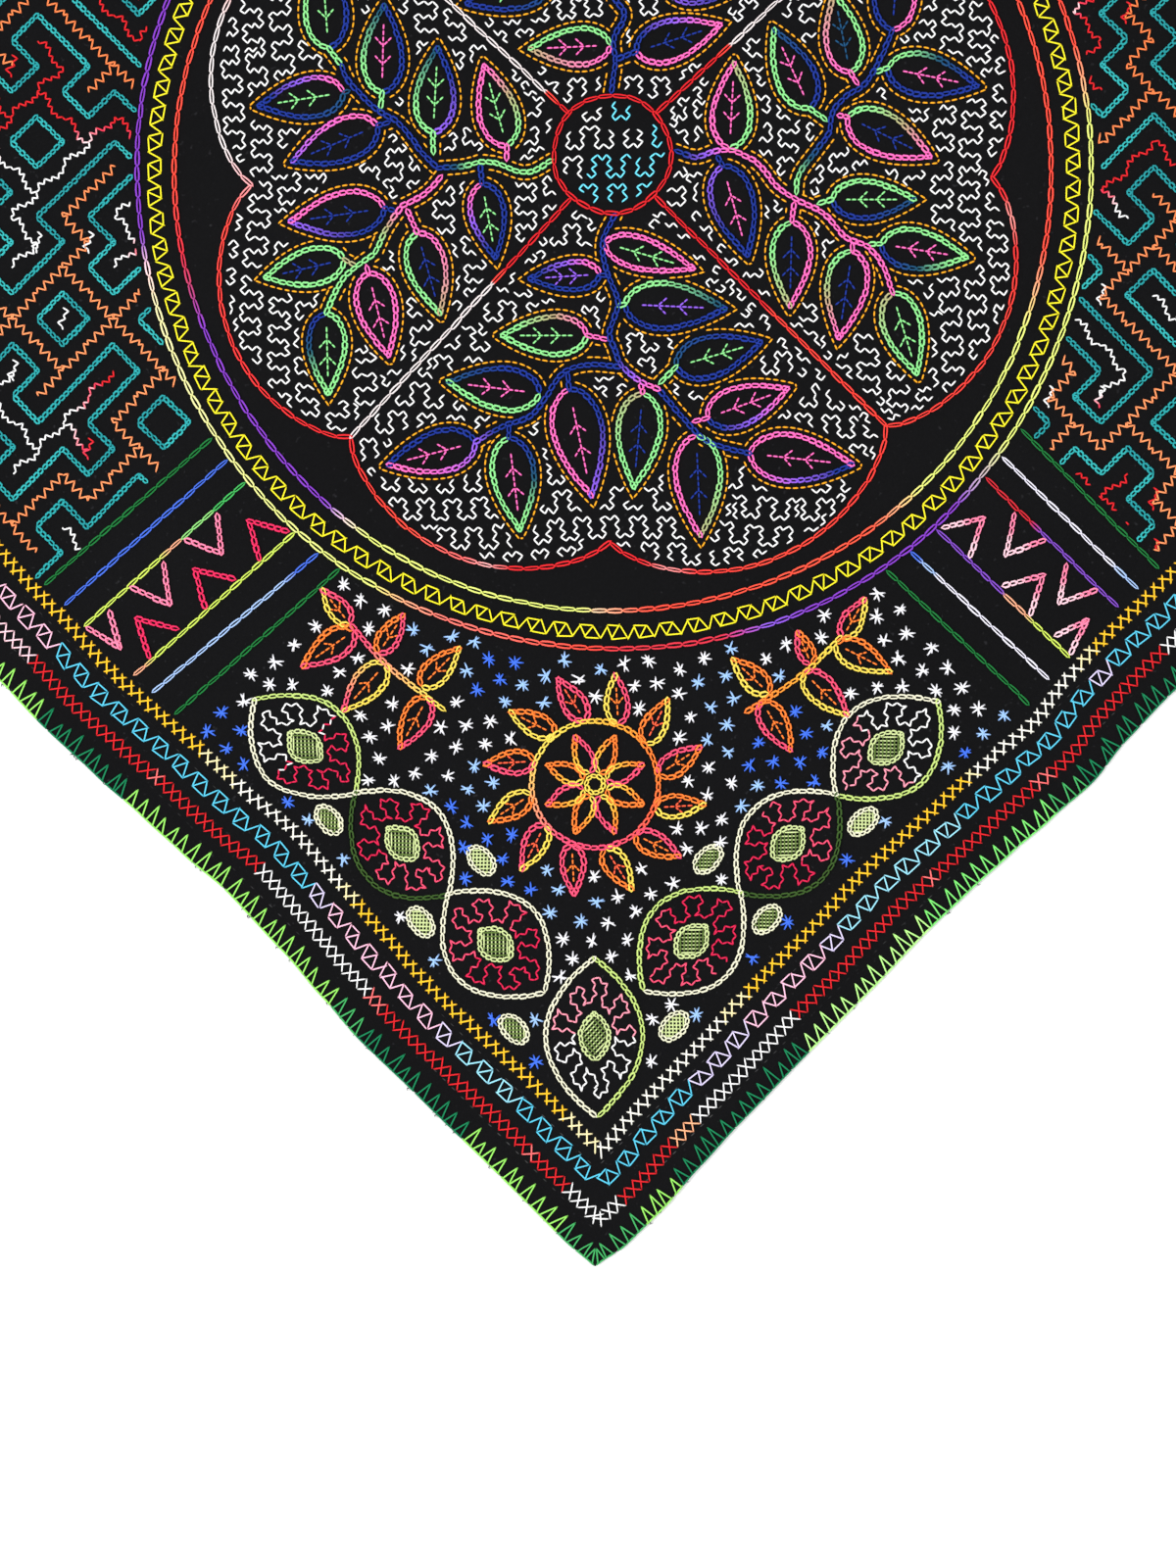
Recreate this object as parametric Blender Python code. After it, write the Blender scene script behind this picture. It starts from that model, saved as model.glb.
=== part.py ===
"""A square embroidered cotton cloth, lying flat with its right side up.

The cloth is one piece: a field of black cotton with its hem folded in behind and sewn
down. The solid holds its uneven outline, the thicker hem, and the shallow swells of
the rim and the field. Metres, +Z up. +X and +Y run along the cloth's
edges. The origin is on the surface that the cloth lies on, under the middle of its
outline.
"""

import math

import bmesh
import bpy

# The cut
SIDE = 0.700
CORNER_ROUNDING = 0.0045
CORNER_REACH = 0.020

# Thickness, with the embroidery's own thread counted in the field's
FIELD_THICKNESS = 0.0014
HEM_THICKNESS = 0.0020
HEM_WIDTH = 0.0084
HEM_STEP = 0.0016
RIM_ROUNDING = 0.0007

# Grid of the sheet
FIELD_PITCH = 0.025

# How the cloth lies: its face swells a little between the flat places
FIELD_SWELL = 0.00035
FIELD_SWELL_WAVES = (0.31, 0.23)
FIELD_SWELL_SLANTS = (0.4, 0.3)
RIM_SWELL = 0.0006
RIM_SWELL_REACH = 0.045
RIM_SWELL_WAVE = 0.135

# While the sheet is closed, a point's height only tells its layer: the top is at 0, the
# underside at this level and the middle of the rim halfway between them
UNDERSIDE_LEVEL = -1.0
RIM_LEVEL = UNDERSIDE_LEVEL / 2
LEVEL_TOLERANCE = 0.25
PLACE_TOLERANCE = 1e-6
FLAT_TOLERANCE = 1e-7

# How far each edge strays outwards from a straight line, as (distance along it, stray).
# "near_left" is the -X edge and "far_right" the +X edge, both from their -Y ends, and
# "near_right" is the -Y edge and "far_left" the +Y edge, both from their -X ends.
EDGE_STRAYS = {
    "near_left": (
        (0.000, 0.0002),
        (0.060, 0.0002),
        (0.110, 0.0008),
        (0.148, 0.0015),
        (0.173, -0.0002),
        (0.200, -0.0022),
        (0.238, -0.0034),
        (0.263, -0.0014),
        (0.288, -0.0004),
        (0.314, 0.0012),
        (0.350, 0.0024),
        (0.378, 0.0016),
        (0.450, -0.0008),
        (0.540, -0.0014),
        (0.620, 0.0008),
        (0.700, 0.0000),
    ),
    "near_right": (
        (0.000, 0.0002),
        (0.018, 0.0018),
        (0.042, 0.0020),
        (0.066, 0.0003),
        (0.092, -0.0008),
        (0.140, -0.0014),
        (0.178, -0.0014),
        (0.214, -0.0022),
        (0.240, -0.0016),
        (0.264, -0.0004),
        (0.288, 0.0014),
        (0.312, 0.0030),
        (0.337, 0.0004),
        (0.362, -0.0003),
        (0.440, 0.0012),
        (0.520, 0.0016),
        (0.610, -0.0010),
        (0.700, 0.0000),
    ),
    "far_left": (
        (0.000, 0.0000),
        (0.090, 0.0014),
        (0.190, -0.0012),
        (0.290, -0.0018),
        (0.380, 0.0010),
        (0.480, 0.0020),
        (0.590, -0.0006),
        (0.700, 0.0000),
    ),
    "far_right": (
        (0.000, 0.0000),
        (0.110, -0.0012),
        (0.210, 0.0010),
        (0.300, 0.0022),
        (0.400, -0.0004),
        (0.500, -0.0020),
        (0.600, 0.0008),
        (0.700, 0.0000),
    ),
}

COTTON_COLOR = (0.011, 0.011, 0.013, 1.0)
COTTON_ROUGHNESS = 0.92
SHARP_ANGLE = 50


def clear_scene():
    """Removes every object that the file starts with."""
    for old in list(bpy.data.objects):
        bpy.data.objects.remove(old, do_unlink=True)


def eased(share):
    """A smooth rise from 0 to 1 while share goes from 0 to 1."""
    share = min(max(share, 0.0), 1.0)
    return share * share * (3.0 - 2.0 * share)


def stray_at(edge, along):
    """How far the named edge stands out at that distance along it."""
    rows = EDGE_STRAYS[edge]
    for (start, before), (end, after) in zip(rows, rows[1:]):
        if along <= end:
            return before + (after - before) * eased((along - start) / (end - start))
    return rows[-1][1]


def outline_point(x, y):
    """Moves a point of the true square to its place in the uneven outline."""
    half = SIDE / 2
    near_x = (half - x) / SIDE
    near_y = (half - y) / SIDE
    left = stray_at("near_left", y + half)
    right = stray_at("far_right", y + half)
    low = stray_at("near_right", x + half)
    high = stray_at("far_left", x + half)
    moved_x = x - left * near_x + right * (1.0 - near_x)
    moved_y = y - low * near_y + high * (1.0 - near_y)
    return rounded_corner(moved_x, moved_y, x, y)


def rounded_corner(moved_x, moved_y, x, y):
    """Draws the four corners in a little, because a folded corner is never sharp."""
    half = SIDE / 2
    to_corner = math.hypot(half - abs(x), half - abs(y))
    pull = CORNER_ROUNDING * (1.0 - math.sqrt(0.5)) * (1.0 - eased(to_corner / CORNER_REACH))
    return moved_x - math.copysign(pull, x), moved_y - math.copysign(pull, y)


def edge_distance(x, y):
    """The distance of a point of the true square from its nearest edge."""
    half = SIDE / 2
    return min(half - abs(x), half - abs(y))


def rim_swell(x, y):
    """The rows of stitches near the rim draw the cloth up a little here and there."""
    near_rim = 1.0 - eased(edge_distance(x, y) / RIM_SWELL_REACH)
    along = math.atan2(y, x) * SIDE / 2
    wave = 0.5 + 0.5 * math.sin(2.0 * math.pi * along / RIM_SWELL_WAVE)
    return RIM_SWELL * near_rim * wave


def thickness(x, y):
    """The hem is the cloth folded double, so it is thicker than the field."""
    past_hem = eased((edge_distance(x, y) - HEM_WIDTH) / HEM_STEP)
    long_wave, short_wave = FIELD_SWELL_WAVES
    long_slant, short_slant = FIELD_SWELL_SLANTS
    swell = math.sin(2.0 * math.pi * (x + long_slant * y) / long_wave)
    swell *= math.cos(2.0 * math.pi * (y - short_slant * x) / short_wave)
    field = FIELD_THICKNESS + FIELD_SWELL * 0.5 * (1.0 + swell)
    flat = HEM_THICKNESS + (field - HEM_THICKNESS) * past_hem
    return flat + rim_swell(x, y)


def stations():
    """The grid lines along one side: the rim, both sides of the hem's step, the field."""
    half = SIDE / 2
    step_inner = HEM_WIDTH + HEM_STEP
    field_half = half - step_inner
    count = max(2, round(2.0 * field_half / FIELD_PITCH))
    field = [-field_half + 2.0 * field_half * i / count for i in range(count + 1)]
    rim = [half - RIM_ROUNDING, half - HEM_WIDTH]
    return [-r for r in rim] + field + rim[::-1]


def sheet_mesh():
    """A grid on the stations, closed below and round its rim."""
    lines = stations()
    bm = bmesh.new()
    bmesh.ops.create_grid(
        bm, x_segments=len(lines) - 1, y_segments=len(lines) - 1, size=0.5
    )
    for vert in bm.verts:
        column = round((vert.co.x + 0.5) * (len(lines) - 1))
        row = round((vert.co.y + 0.5) * (len(lines) - 1))
        vert.co = (lines[column], lines[row], 0.0)
    true_place = bm.verts.layers.float_vector.new("true_place")
    for vert in bm.verts:
        vert[true_place] = vert.co
    close_sheet(bm)
    shape_sheet(bm, true_place)
    flatten_below(bm)
    bmesh.ops.recalc_face_normals(bm, faces=bm.faces)
    mesh = bpy.data.meshes.new("cloth")
    bm.to_mesh(mesh)
    bm.free()
    return mesh


def close_sheet(bm):
    """Adds the underside and a rim with one line of points halfway up."""
    top_faces = list(bm.faces)
    below = bmesh.ops.extrude_face_region(bm, geom=top_faces, use_keep_orig=True)
    for item in below["geom"]:
        if isinstance(item, bmesh.types.BMVert):
            item.co.z = UNDERSIDE_LEVEL
    rungs = [
        e for e in bm.edges if abs(e.verts[0].co.z - e.verts[1].co.z) > LEVEL_TOLERANCE
    ]
    bmesh.ops.subdivide_edges(bm, edges=rungs, cuts=1)


def shape_sheet(bm, true_place):
    """Gives every point its real place: top, underside or the middle of the rim."""
    for vert in bm.verts:
        x, y, _ = vert[true_place]
        middle = abs(vert.co.z - RIM_LEVEL) < LEVEL_TOLERANCE
        if middle:
            x, y = pushed_to_rim(x, y)
        share = 1.0 - vert.co.z / UNDERSIDE_LEVEL
        place_x, place_y = outline_point(x, y)
        vert.co = (place_x, place_y, share * thickness(x, y))


def pushed_to_rim(x, y):
    """The middle of the rim stands out to the full size of the cloth."""
    half = SIDE / 2
    rim_line = half - RIM_ROUNDING
    out_x = math.copysign(half, x) if abs(abs(x) - rim_line) < PLACE_TOLERANCE else x
    out_y = math.copysign(half, y) if abs(abs(y) - rim_line) < PLACE_TOLERANCE else y
    return out_x, out_y


def flatten_below(bm):
    """Joins the faces of the underside, which lies flat, into one face."""
    flat = [f for f in bm.faces if all(abs(v.co.z) < FLAT_TOLERANCE for v in f.verts)]
    bmesh.ops.dissolve_faces(bm, faces=flat, use_verts=True)


def centre_on_outline(mesh):
    """Puts the middle of the outline's box over the origin."""
    xs = [v.co.x for v in mesh.vertices]
    ys = [v.co.y for v in mesh.vertices]
    shift_x = (max(xs) + min(xs)) / 2
    shift_y = (max(ys) + min(ys)) / 2
    for vert in mesh.vertices:
        vert.co.x -= shift_x
        vert.co.y -= shift_y


def cotton_material():
    """Black cotton, with no shine."""
    material = bpy.data.materials.new("black_cotton")
    material.use_nodes = True
    shader = material.node_tree.nodes["Principled BSDF"]
    shader.inputs["Base Color"].default_value = COTTON_COLOR
    shader.inputs["Roughness"].default_value = COTTON_ROUGHNESS
    shader.inputs["Metallic"].default_value = 0.0
    return material


def make_cloth():
    """The whole cloth as one object."""
    mesh = sheet_mesh()
    centre_on_outline(mesh)
    mesh.materials.append(cotton_material())
    mesh.shade_smooth()
    mesh.set_sharp_from_angle(angle=math.radians(SHARP_ANGLE))
    cloth = bpy.data.objects.new("cloth", mesh)
    bpy.context.scene.collection.objects.link(cloth)
    return cloth


def main():
    """Builds the part."""
    clear_scene()
    make_cloth()


main()
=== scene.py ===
"""A square black cotton cloth covered in hand embroidery, laid flat and seen from above.

The cloth's own sheet stands for the solid of the frame. Every line of thread on it is
real geometry: chain links, running stitches, crosses, herringbone, boxed triangles, knots
of crossed strands, and the tents that bind the edge. Lengths are in metres. Plans are
drawn on the true square and then eased onto the cloth's uneven outline and its swells.
"""

import logging
import math
from collections.abc import Callable, Iterator
from dataclasses import dataclass, field, replace
from enum import Enum

import bmesh
import bpy
import numpy as np
from mathutils import Matrix, Vector

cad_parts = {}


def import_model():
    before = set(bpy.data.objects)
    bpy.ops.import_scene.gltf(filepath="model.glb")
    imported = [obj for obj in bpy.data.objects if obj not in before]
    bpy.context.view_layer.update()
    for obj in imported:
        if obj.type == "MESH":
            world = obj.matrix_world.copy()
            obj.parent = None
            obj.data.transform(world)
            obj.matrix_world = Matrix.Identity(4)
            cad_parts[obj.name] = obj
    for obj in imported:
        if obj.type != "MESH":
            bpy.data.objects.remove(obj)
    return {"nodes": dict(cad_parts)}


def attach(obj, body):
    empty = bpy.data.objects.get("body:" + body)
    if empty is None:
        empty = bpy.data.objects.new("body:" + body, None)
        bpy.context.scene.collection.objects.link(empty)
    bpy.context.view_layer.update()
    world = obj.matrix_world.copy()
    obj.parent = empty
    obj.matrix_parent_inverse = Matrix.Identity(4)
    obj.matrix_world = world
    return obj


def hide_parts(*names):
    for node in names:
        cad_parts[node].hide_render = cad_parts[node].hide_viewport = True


LOG = logging.getLogger("cloth")
MM = 0.001
SIDE = 0.700
HALF = SIDE / 2
BODY = "root"
ROOT_HALF = math.sqrt(0.5)
TENT_PITCH = 5.95 * MM
TURNS_ON_MAP = 37.5
RNG = np.random.default_rng(20411)

Color = tuple[float, float, float]
Dyes = tuple[tuple[float, Color], ...]
Plan = Callable[[float, float], tuple[float, float]]


def eased(share: np.ndarray) -> np.ndarray:
    """A smooth rise from 0 to 1 while share goes from 0 to 1."""
    share = np.clip(share, 0.0, 1.0)
    return share * share * (3.0 - 2.0 * share)


def turned(points: np.ndarray, angle: float) -> np.ndarray:
    """Points of a plan turned about the origin, anticlockwise by an angle in radians."""
    c, s = math.cos(angle), math.sin(angle)
    return points @ np.array([[c, s], [-s, c]])


def from_diagonal(points: np.ndarray) -> np.ndarray:
    """Plan points from the view's axes, with the near corner below, to the cloth's.

    Args:
        points: rows of (right, up), where up runs along the cloth's diagonal.

    Returns:
        Rows of (x, y) along the cloth's edges.
    """
    return turned(np.asarray(points, float), -math.pi / 4)


@dataclass(frozen=True)
class ClothShape:
    """The outline and the thickness of the cloth, in the same sizes as its solid."""

    corner_rounding: float = 0.0045
    corner_reach: float = 0.020
    field_thickness: float = 0.0014
    hem_thickness: float = 0.0020
    hem_width: float = 0.0084
    hem_step: float = 0.0016
    rim_rounding: float = 0.0007
    solid_pitch: float = 0.025
    field_swell: float = 0.00035
    long_wave: float = 0.31
    short_wave: float = 0.23
    rim_swell: float = 0.0006
    rim_reach: float = 0.045
    rim_wave: float = 0.135
    followed: float = 0.045
    settled: float = 0.085
    strays: dict[str, tuple[tuple[float, float], ...]] = field(
        default_factory=lambda: {
            "near_left": (
                (0.000, 0.0002), (0.060, 0.0002), (0.110, 0.0008), (0.148, 0.0015),
                (0.173, -0.0002), (0.200, -0.0022), (0.238, -0.0034), (0.263, -0.0014),
                (0.288, -0.0004), (0.314, 0.0012), (0.350, 0.0024), (0.378, 0.0016),
                (0.450, -0.0008), (0.540, -0.0014), (0.620, 0.0008), (0.700, 0.0000),
            ),
            "near_right": (
                (0.000, 0.0002), (0.018, 0.0018), (0.042, 0.0020), (0.066, 0.0003),
                (0.092, -0.0008), (0.140, -0.0014), (0.178, -0.0014), (0.214, -0.0022),
                (0.240, -0.0016), (0.264, -0.0004), (0.288, 0.0014), (0.312, 0.0030),
                (0.337, 0.0004), (0.362, -0.0003), (0.440, 0.0012), (0.520, 0.0016),
                (0.610, -0.0010), (0.700, 0.0000),
            ),
            "far_left": (
                (0.000, 0.0000), (0.090, 0.0014), (0.190, -0.0012), (0.290, -0.0018),
                (0.380, 0.0010), (0.480, 0.0020), (0.590, -0.0006), (0.700, 0.0000),
            ),
            "far_right": (
                (0.000, 0.0000), (0.110, -0.0012), (0.210, 0.0010), (0.300, 0.0022),
                (0.400, -0.0004), (0.500, -0.0020), (0.600, 0.0008), (0.700, 0.0000),
            ),
        }
    )

    def stray_at(self, edge: str, along: np.ndarray) -> np.ndarray:
        """How far the named edge stands out at each distance along it."""
        starts, heights = np.array(self.strays[edge]).T
        step = np.clip(np.searchsorted(starts, along, side="right") - 1, 0, len(starts) - 2)
        share = eased((along - starts[step]) / (starts[step + 1] - starts[step]))
        return heights[step] + (heights[step + 1] - heights[step]) * share

    def on_outline(self, x: np.ndarray, y: np.ndarray) -> tuple[np.ndarray, np.ndarray]:
        """Moves points of the true square to their places on the uneven cloth.

        Args:
            x: places along the first edge.
            y: places along the second edge.

        Returns:
            The moved x and y.
        """
        moved_x = x - self.stray_at("near_left", y + HALF) * self.pulled(HALF + x)
        moved_x += self.stray_at("far_right", y + HALF) * self.pulled(HALF - x)
        moved_y = y - self.stray_at("near_right", x + HALF) * self.pulled(HALF + y)
        moved_y += self.stray_at("far_left", x + HALF) * self.pulled(HALF - y)
        to_corner = np.hypot(HALF - np.abs(x), HALF - np.abs(y))
        pull = 1.0 - eased(to_corner / self.corner_reach)
        pull *= self.corner_rounding * (1.0 - ROOT_HALF)
        shift_x, shift_y = self.centring
        return (
            moved_x - np.copysign(pull, x) - shift_x,
            moved_y - np.copysign(pull, y) - shift_y,
        )

    def pulled(self, inset: np.ndarray) -> np.ndarray:
        """How much of an edge's stray is left at a distance in from it."""
        return 1.0 - eased((inset - self.followed) / self.settled)

    @property
    def centring(self) -> tuple[float, float]:
        """How far the middle of the solid's outline stands from the true square's."""
        inside = HALF - self.hem_width - self.hem_step
        lines = np.linspace(-inside, inside, round(2.0 * inside / self.solid_pitch) + 1)
        rims = np.array([self.rim_rounding, self.hem_width])
        along = np.concatenate([rims, lines + HALF, SIDE - rims])
        sides = {}
        for edge in self.strays:
            sides[edge] = float(self.stray_at(edge, along).max())
        return (
            (sides["far_right"] - sides["near_left"]) / 2,
            (sides["far_left"] - sides["near_right"]) / 2,
        )

    def thickness(self, x: np.ndarray, y: np.ndarray) -> np.ndarray:
        """The height of the cloth's face over what it lies on.

        Args:
            x: places on the true square, along its first edge.
            y: places along its second edge.

        Returns:
            The height at each place.
        """
        rim = np.minimum(HALF - np.abs(x), HALF - np.abs(y))
        past_hem = eased((rim - self.hem_width) / self.hem_step)
        swell = np.sin(2.0 * np.pi * (x + 0.4 * y) / self.long_wave)
        swell = swell * np.cos(2.0 * np.pi * (y - 0.3 * x) / self.short_wave)
        cotton = self.field_thickness + self.field_swell * 0.5 * (1.0 + swell)
        flat = self.hem_thickness + (cotton - self.hem_thickness) * past_hem
        near_rim = 1.0 - eased(rim / self.rim_reach)
        wave = 0.5 + 0.5 * np.sin(2.0 * np.pi * np.arctan2(y, x) * HALF / self.rim_wave)
        return flat + self.rim_swell * near_rim * wave

    def seat(self, points: np.ndarray) -> np.ndarray:
        """Puts points given over the true square onto the real cloth.

        Args:
            points: rows of (x, y, height over the cloth's face).

        Returns:
            Rows of (x, y, z) in the frame.
        """
        x, y, up = points.T
        inside_x = np.clip(x, -HALF, HALF)
        inside_y = np.clip(y, -HALF, HALF)
        place_x, place_y = self.on_outline(inside_x, inside_y)
        z = up + self.thickness(inside_x, inside_y)
        return np.column_stack([place_x + x - inside_x, place_y + y - inside_y, z])


SHAPE = ClothShape()


@dataclass
class ThreadShape:
    """A length of thread with its route, modelled once and then worked many times.

    The route's stations are (along, aside, height, radius) in metres. The two layers
    hold each point's share of the route and of the turn round the thread.
    """

    name: str
    stations: tuple[tuple[float, float, float, float], ...]
    looped: bool = False
    sides: int = 4
    flatness: float = 0.85

    def __post_init__(self) -> None:
        """Models the shape at once, so that it is there for every stitch."""
        self.points, self.corners, self.totals, self.shares = self.modelled()
        self.reach = max(row[0] for row in self.stations)
        ends = self.stations[1:] + self.stations[: int(self.looped)]
        self.length = sum(math.dist(a[:3], b[:3]) for a, b in zip(self.stations, ends))

    def ring_place(self, index: int) -> Matrix:
        """Where a ring of the thread stands: at a station, across the route."""
        rows = self.stations
        count = len(rows)
        before = rows[(index - 1) % count] if self.looped or index > 0 else rows[index]
        after = rows[(index + 1) % count] if self.looped or index < count - 1 else rows[index]
        heading = Vector(after[:3]) - Vector(before[:3])
        turn = Matrix.Rotation(math.atan2(heading.y, heading.x), 4, "Z")
        pitch = Matrix.Rotation(-math.atan2(heading.z, heading.xy.length), 4, "Y")
        radius = rows[index][3]
        size = Matrix.Diagonal((radius, radius, radius * self.flatness, 1.0))
        return Matrix.Translation(Vector(rows[index][:3])) @ turn @ size @ pitch

    def modelled(self) -> tuple[np.ndarray, np.ndarray, np.ndarray, np.ndarray]:
        """Draws a ring along the route, then closes the loop or draws the ends in.

        Returns:
            The points, each face's corners, each face's corner count, and each corner's
            share along and round the thread.
        """
        bm = bmesh.new()
        along = bm.verts.layers.float.new("along")
        around = bm.verts.layers.float.new("around")
        upright = Matrix.Rotation(math.pi / 2, 4, "Y") @ Matrix.Rotation(math.pi / self.sides, 4, "Z")
        made = bmesh.ops.create_circle(bm, segments=self.sides, radius=1.0, matrix=upright)
        ring = made["verts"]
        for step, vert in enumerate(ring):
            vert[around] = step / self.sides
        base = [vert.co.copy() for vert in ring]
        edges = list(bm.edges)
        first_edges = list(edges)
        count = len(self.stations)
        spread = count if self.looped else count - 1
        for index in range(count):
            if index:
                more = bmesh.ops.extrude_edge_only(bm, edges=edges)["geom"]
                fresh = [g for g in more if isinstance(g, bmesh.types.BMVert)]
                fresh.sort(key=lambda vert: vert[around])
                ring = fresh
                edges = [g for g in more if isinstance(g, bmesh.types.BMEdge)
                         and all(v in fresh for v in g.verts)]
            place = self.ring_place(index)
            for vert, corner in zip(ring, base):
                vert.co = place @ corner
                vert[along] = index / spread
        if self.looped:
            bmesh.ops.bridge_loops(bm, edges=first_edges + edges)
        else:
            bmesh.ops.holes_fill(bm, edges=bm.edges, sides=0)
        bmesh.ops.recalc_face_normals(bm, faces=bm.faces)
        rows = self.read_faces(bm, along, around)
        bm.free()
        return rows

    def read_faces(
        self,
        bm: bmesh.types.BMesh,
        along: bmesh.types.BMLayerItem,
        around: bmesh.types.BMLayerItem,
    ) -> tuple[np.ndarray, np.ndarray, np.ndarray, np.ndarray]:
        """Reads the modelled faces as arrays, with both shares running on to 1 at a seam.

        Args:
            bm: the modelled thread.
            along: the layer with each point's share of the route.
            around: the layer with its share of the turn round the thread.

        Returns:
            The points, each face's corners, each face's corner count, and each corner's
            share along and round the thread.
        """
        bm.verts.index_update()
        points = np.array([tuple(vert.co) for vert in bm.verts])
        corners, totals, shares = [], [], []
        for face in bm.faces:
            route = np.array([vert[along] for vert in face.verts])
            turn = np.array([vert[around] for vert in face.verts])
            if self.looped and np.ptp(route) > 0.5:
                route[route < 0.01] = 1.0
            if np.ptp(route) < 0.01:
                route = route + np.where(np.arange(len(route)) % 2, 0.04, 0.0)
            elif np.ptp(turn) > 0.6:
                turn[turn < 0.01] = 1.0
            corners.extend(vert.index for vert in face.verts)
            totals.append(len(face.verts))
            shares.append(np.column_stack([route, turn]))
        return points, np.array(corners), np.array(totals), np.concatenate(shares)


THICK, FINE, THIN, SUNK = 0.55 * MM, 0.50 * MM, 0.44 * MM, 0.34 * MM


def link(
    name: str, thick: float, side: tuple[tuple[float, float, float], ...], tip: tuple[float, float]
) -> ThreadShape:
    """A chain link: a loop that runs out along one side, round its tip and back.

    Args:
        name: the shape's name.
        thick: the thread's radius.
        side: one side's (along, aside, height), from its root to its tip.
        tip: how far out the tip stands, and how high.

    Returns:
        The shape.
    """
    there = [(along, -aside, up, thick) for along, aside, up in side]
    back = [(along, aside, up, thick) for along, aside, up in reversed(side)]
    root, end = (0.0, 0.0, 0.1 * MM, thick), (tip[0], 0.0, tip[1], thick)
    return ThreadShape(name, (root, *there, end, *back), looped=True)


def straight(name: str, *rows: tuple[float, float, float]) -> ThreadShape:
    """A straight stitch, from rows of (along, height, radius)."""
    return ThreadShape(name, tuple((along, 0.0, up, radius) for along, up, radius in rows))


RING_LINK = link(
    "ring_link", FINE,
    ((0.0018, 0.00062, 0.0005), (0.0046, 0.00080, 0.0007), (0.0074, 0.00068, 0.0007)), (0.0086, 0.0009),
)
TIGHT_LINK = link(
    "tight_link", THICK, ((0.0016, 0.00088, 0.0006), (0.0036, 0.00080, 0.0008)), (0.0045, 0.0011)
)
SMALL_LINK = link(
    "small_link", FINE, ((0.0014, 0.00078, 0.0005), (0.0028, 0.00072, 0.0007)), (0.0036, 0.0008)
)
RUNNING = straight(
    "running",
    (0.0, -0.0002, 0.3 * MM), (0.0006, 0.0004, FINE), (0.0020, 0.0004, FINE), (0.0026, -0.0002, 0.3 * MM),
)
BACK = straight(
    "back", (0.0, 0.0, SUNK), (0.0007, 0.0004, FINE), (0.0022, 0.0004, FINE), (0.0029, 0.0, SUNK)
)
STRAND = straight(
    "strand",
    (0.0, -0.0001, SUNK), (0.0009, 0.0004, FINE), (0.0040, 0.0005, FINE), (0.0071, 0.0004, FINE),
    (0.0080, -0.0001, SUNK),
)
OVER = straight(
    "over",
    (0.0, -0.0001, SUNK), (0.0009, 0.0005, FINE), (0.0040, 0.0013, FINE), (0.0071, 0.0005, FINE),
    (0.0080, -0.0001, SUNK),
)
RAY = straight(
    "ray",
    (0.0, -0.0001, 0.26 * MM), (0.0020, 0.0006, THIN), (0.0042, 0.0006, THIN), (0.0062, -0.0001, 0.26 * MM),
)
STAR_RAY = straight(
    "star_ray",
    (0.0, -0.0001, 0.38 * MM), (0.0012, 0.0006, 0.52 * MM), (0.0050, 0.0006, 0.52 * MM),
    (0.0062, -0.0001, 0.38 * MM),
)
TENT = straight(
    "tent",
    (0.0, -0.0012, 0.40 * MM), (0.0006, 0.0002, THICK), (0.0035, 0.0006, THICK), (0.0074, 0.0005, FINE),
    (0.0084, -0.0001, SUNK),
)
RIM_ROLL = straight("rim_roll", (0.0, 0.0, FINE), (0.0032, 0.0002, THICK), (0.0064, 0.0, FINE))
WISP = ThreadShape(
    "wisp",
    (
        (0.0, 0.0, -0.0004, 0.30 * MM), (0.0008, 0.0002, -0.0008, 0.32 * MM),
        (0.0019, -0.0003, -0.0012, 0.24 * MM), (0.0028, 0.0003, -0.0015, 0.14 * MM),
    ),
)


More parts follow.
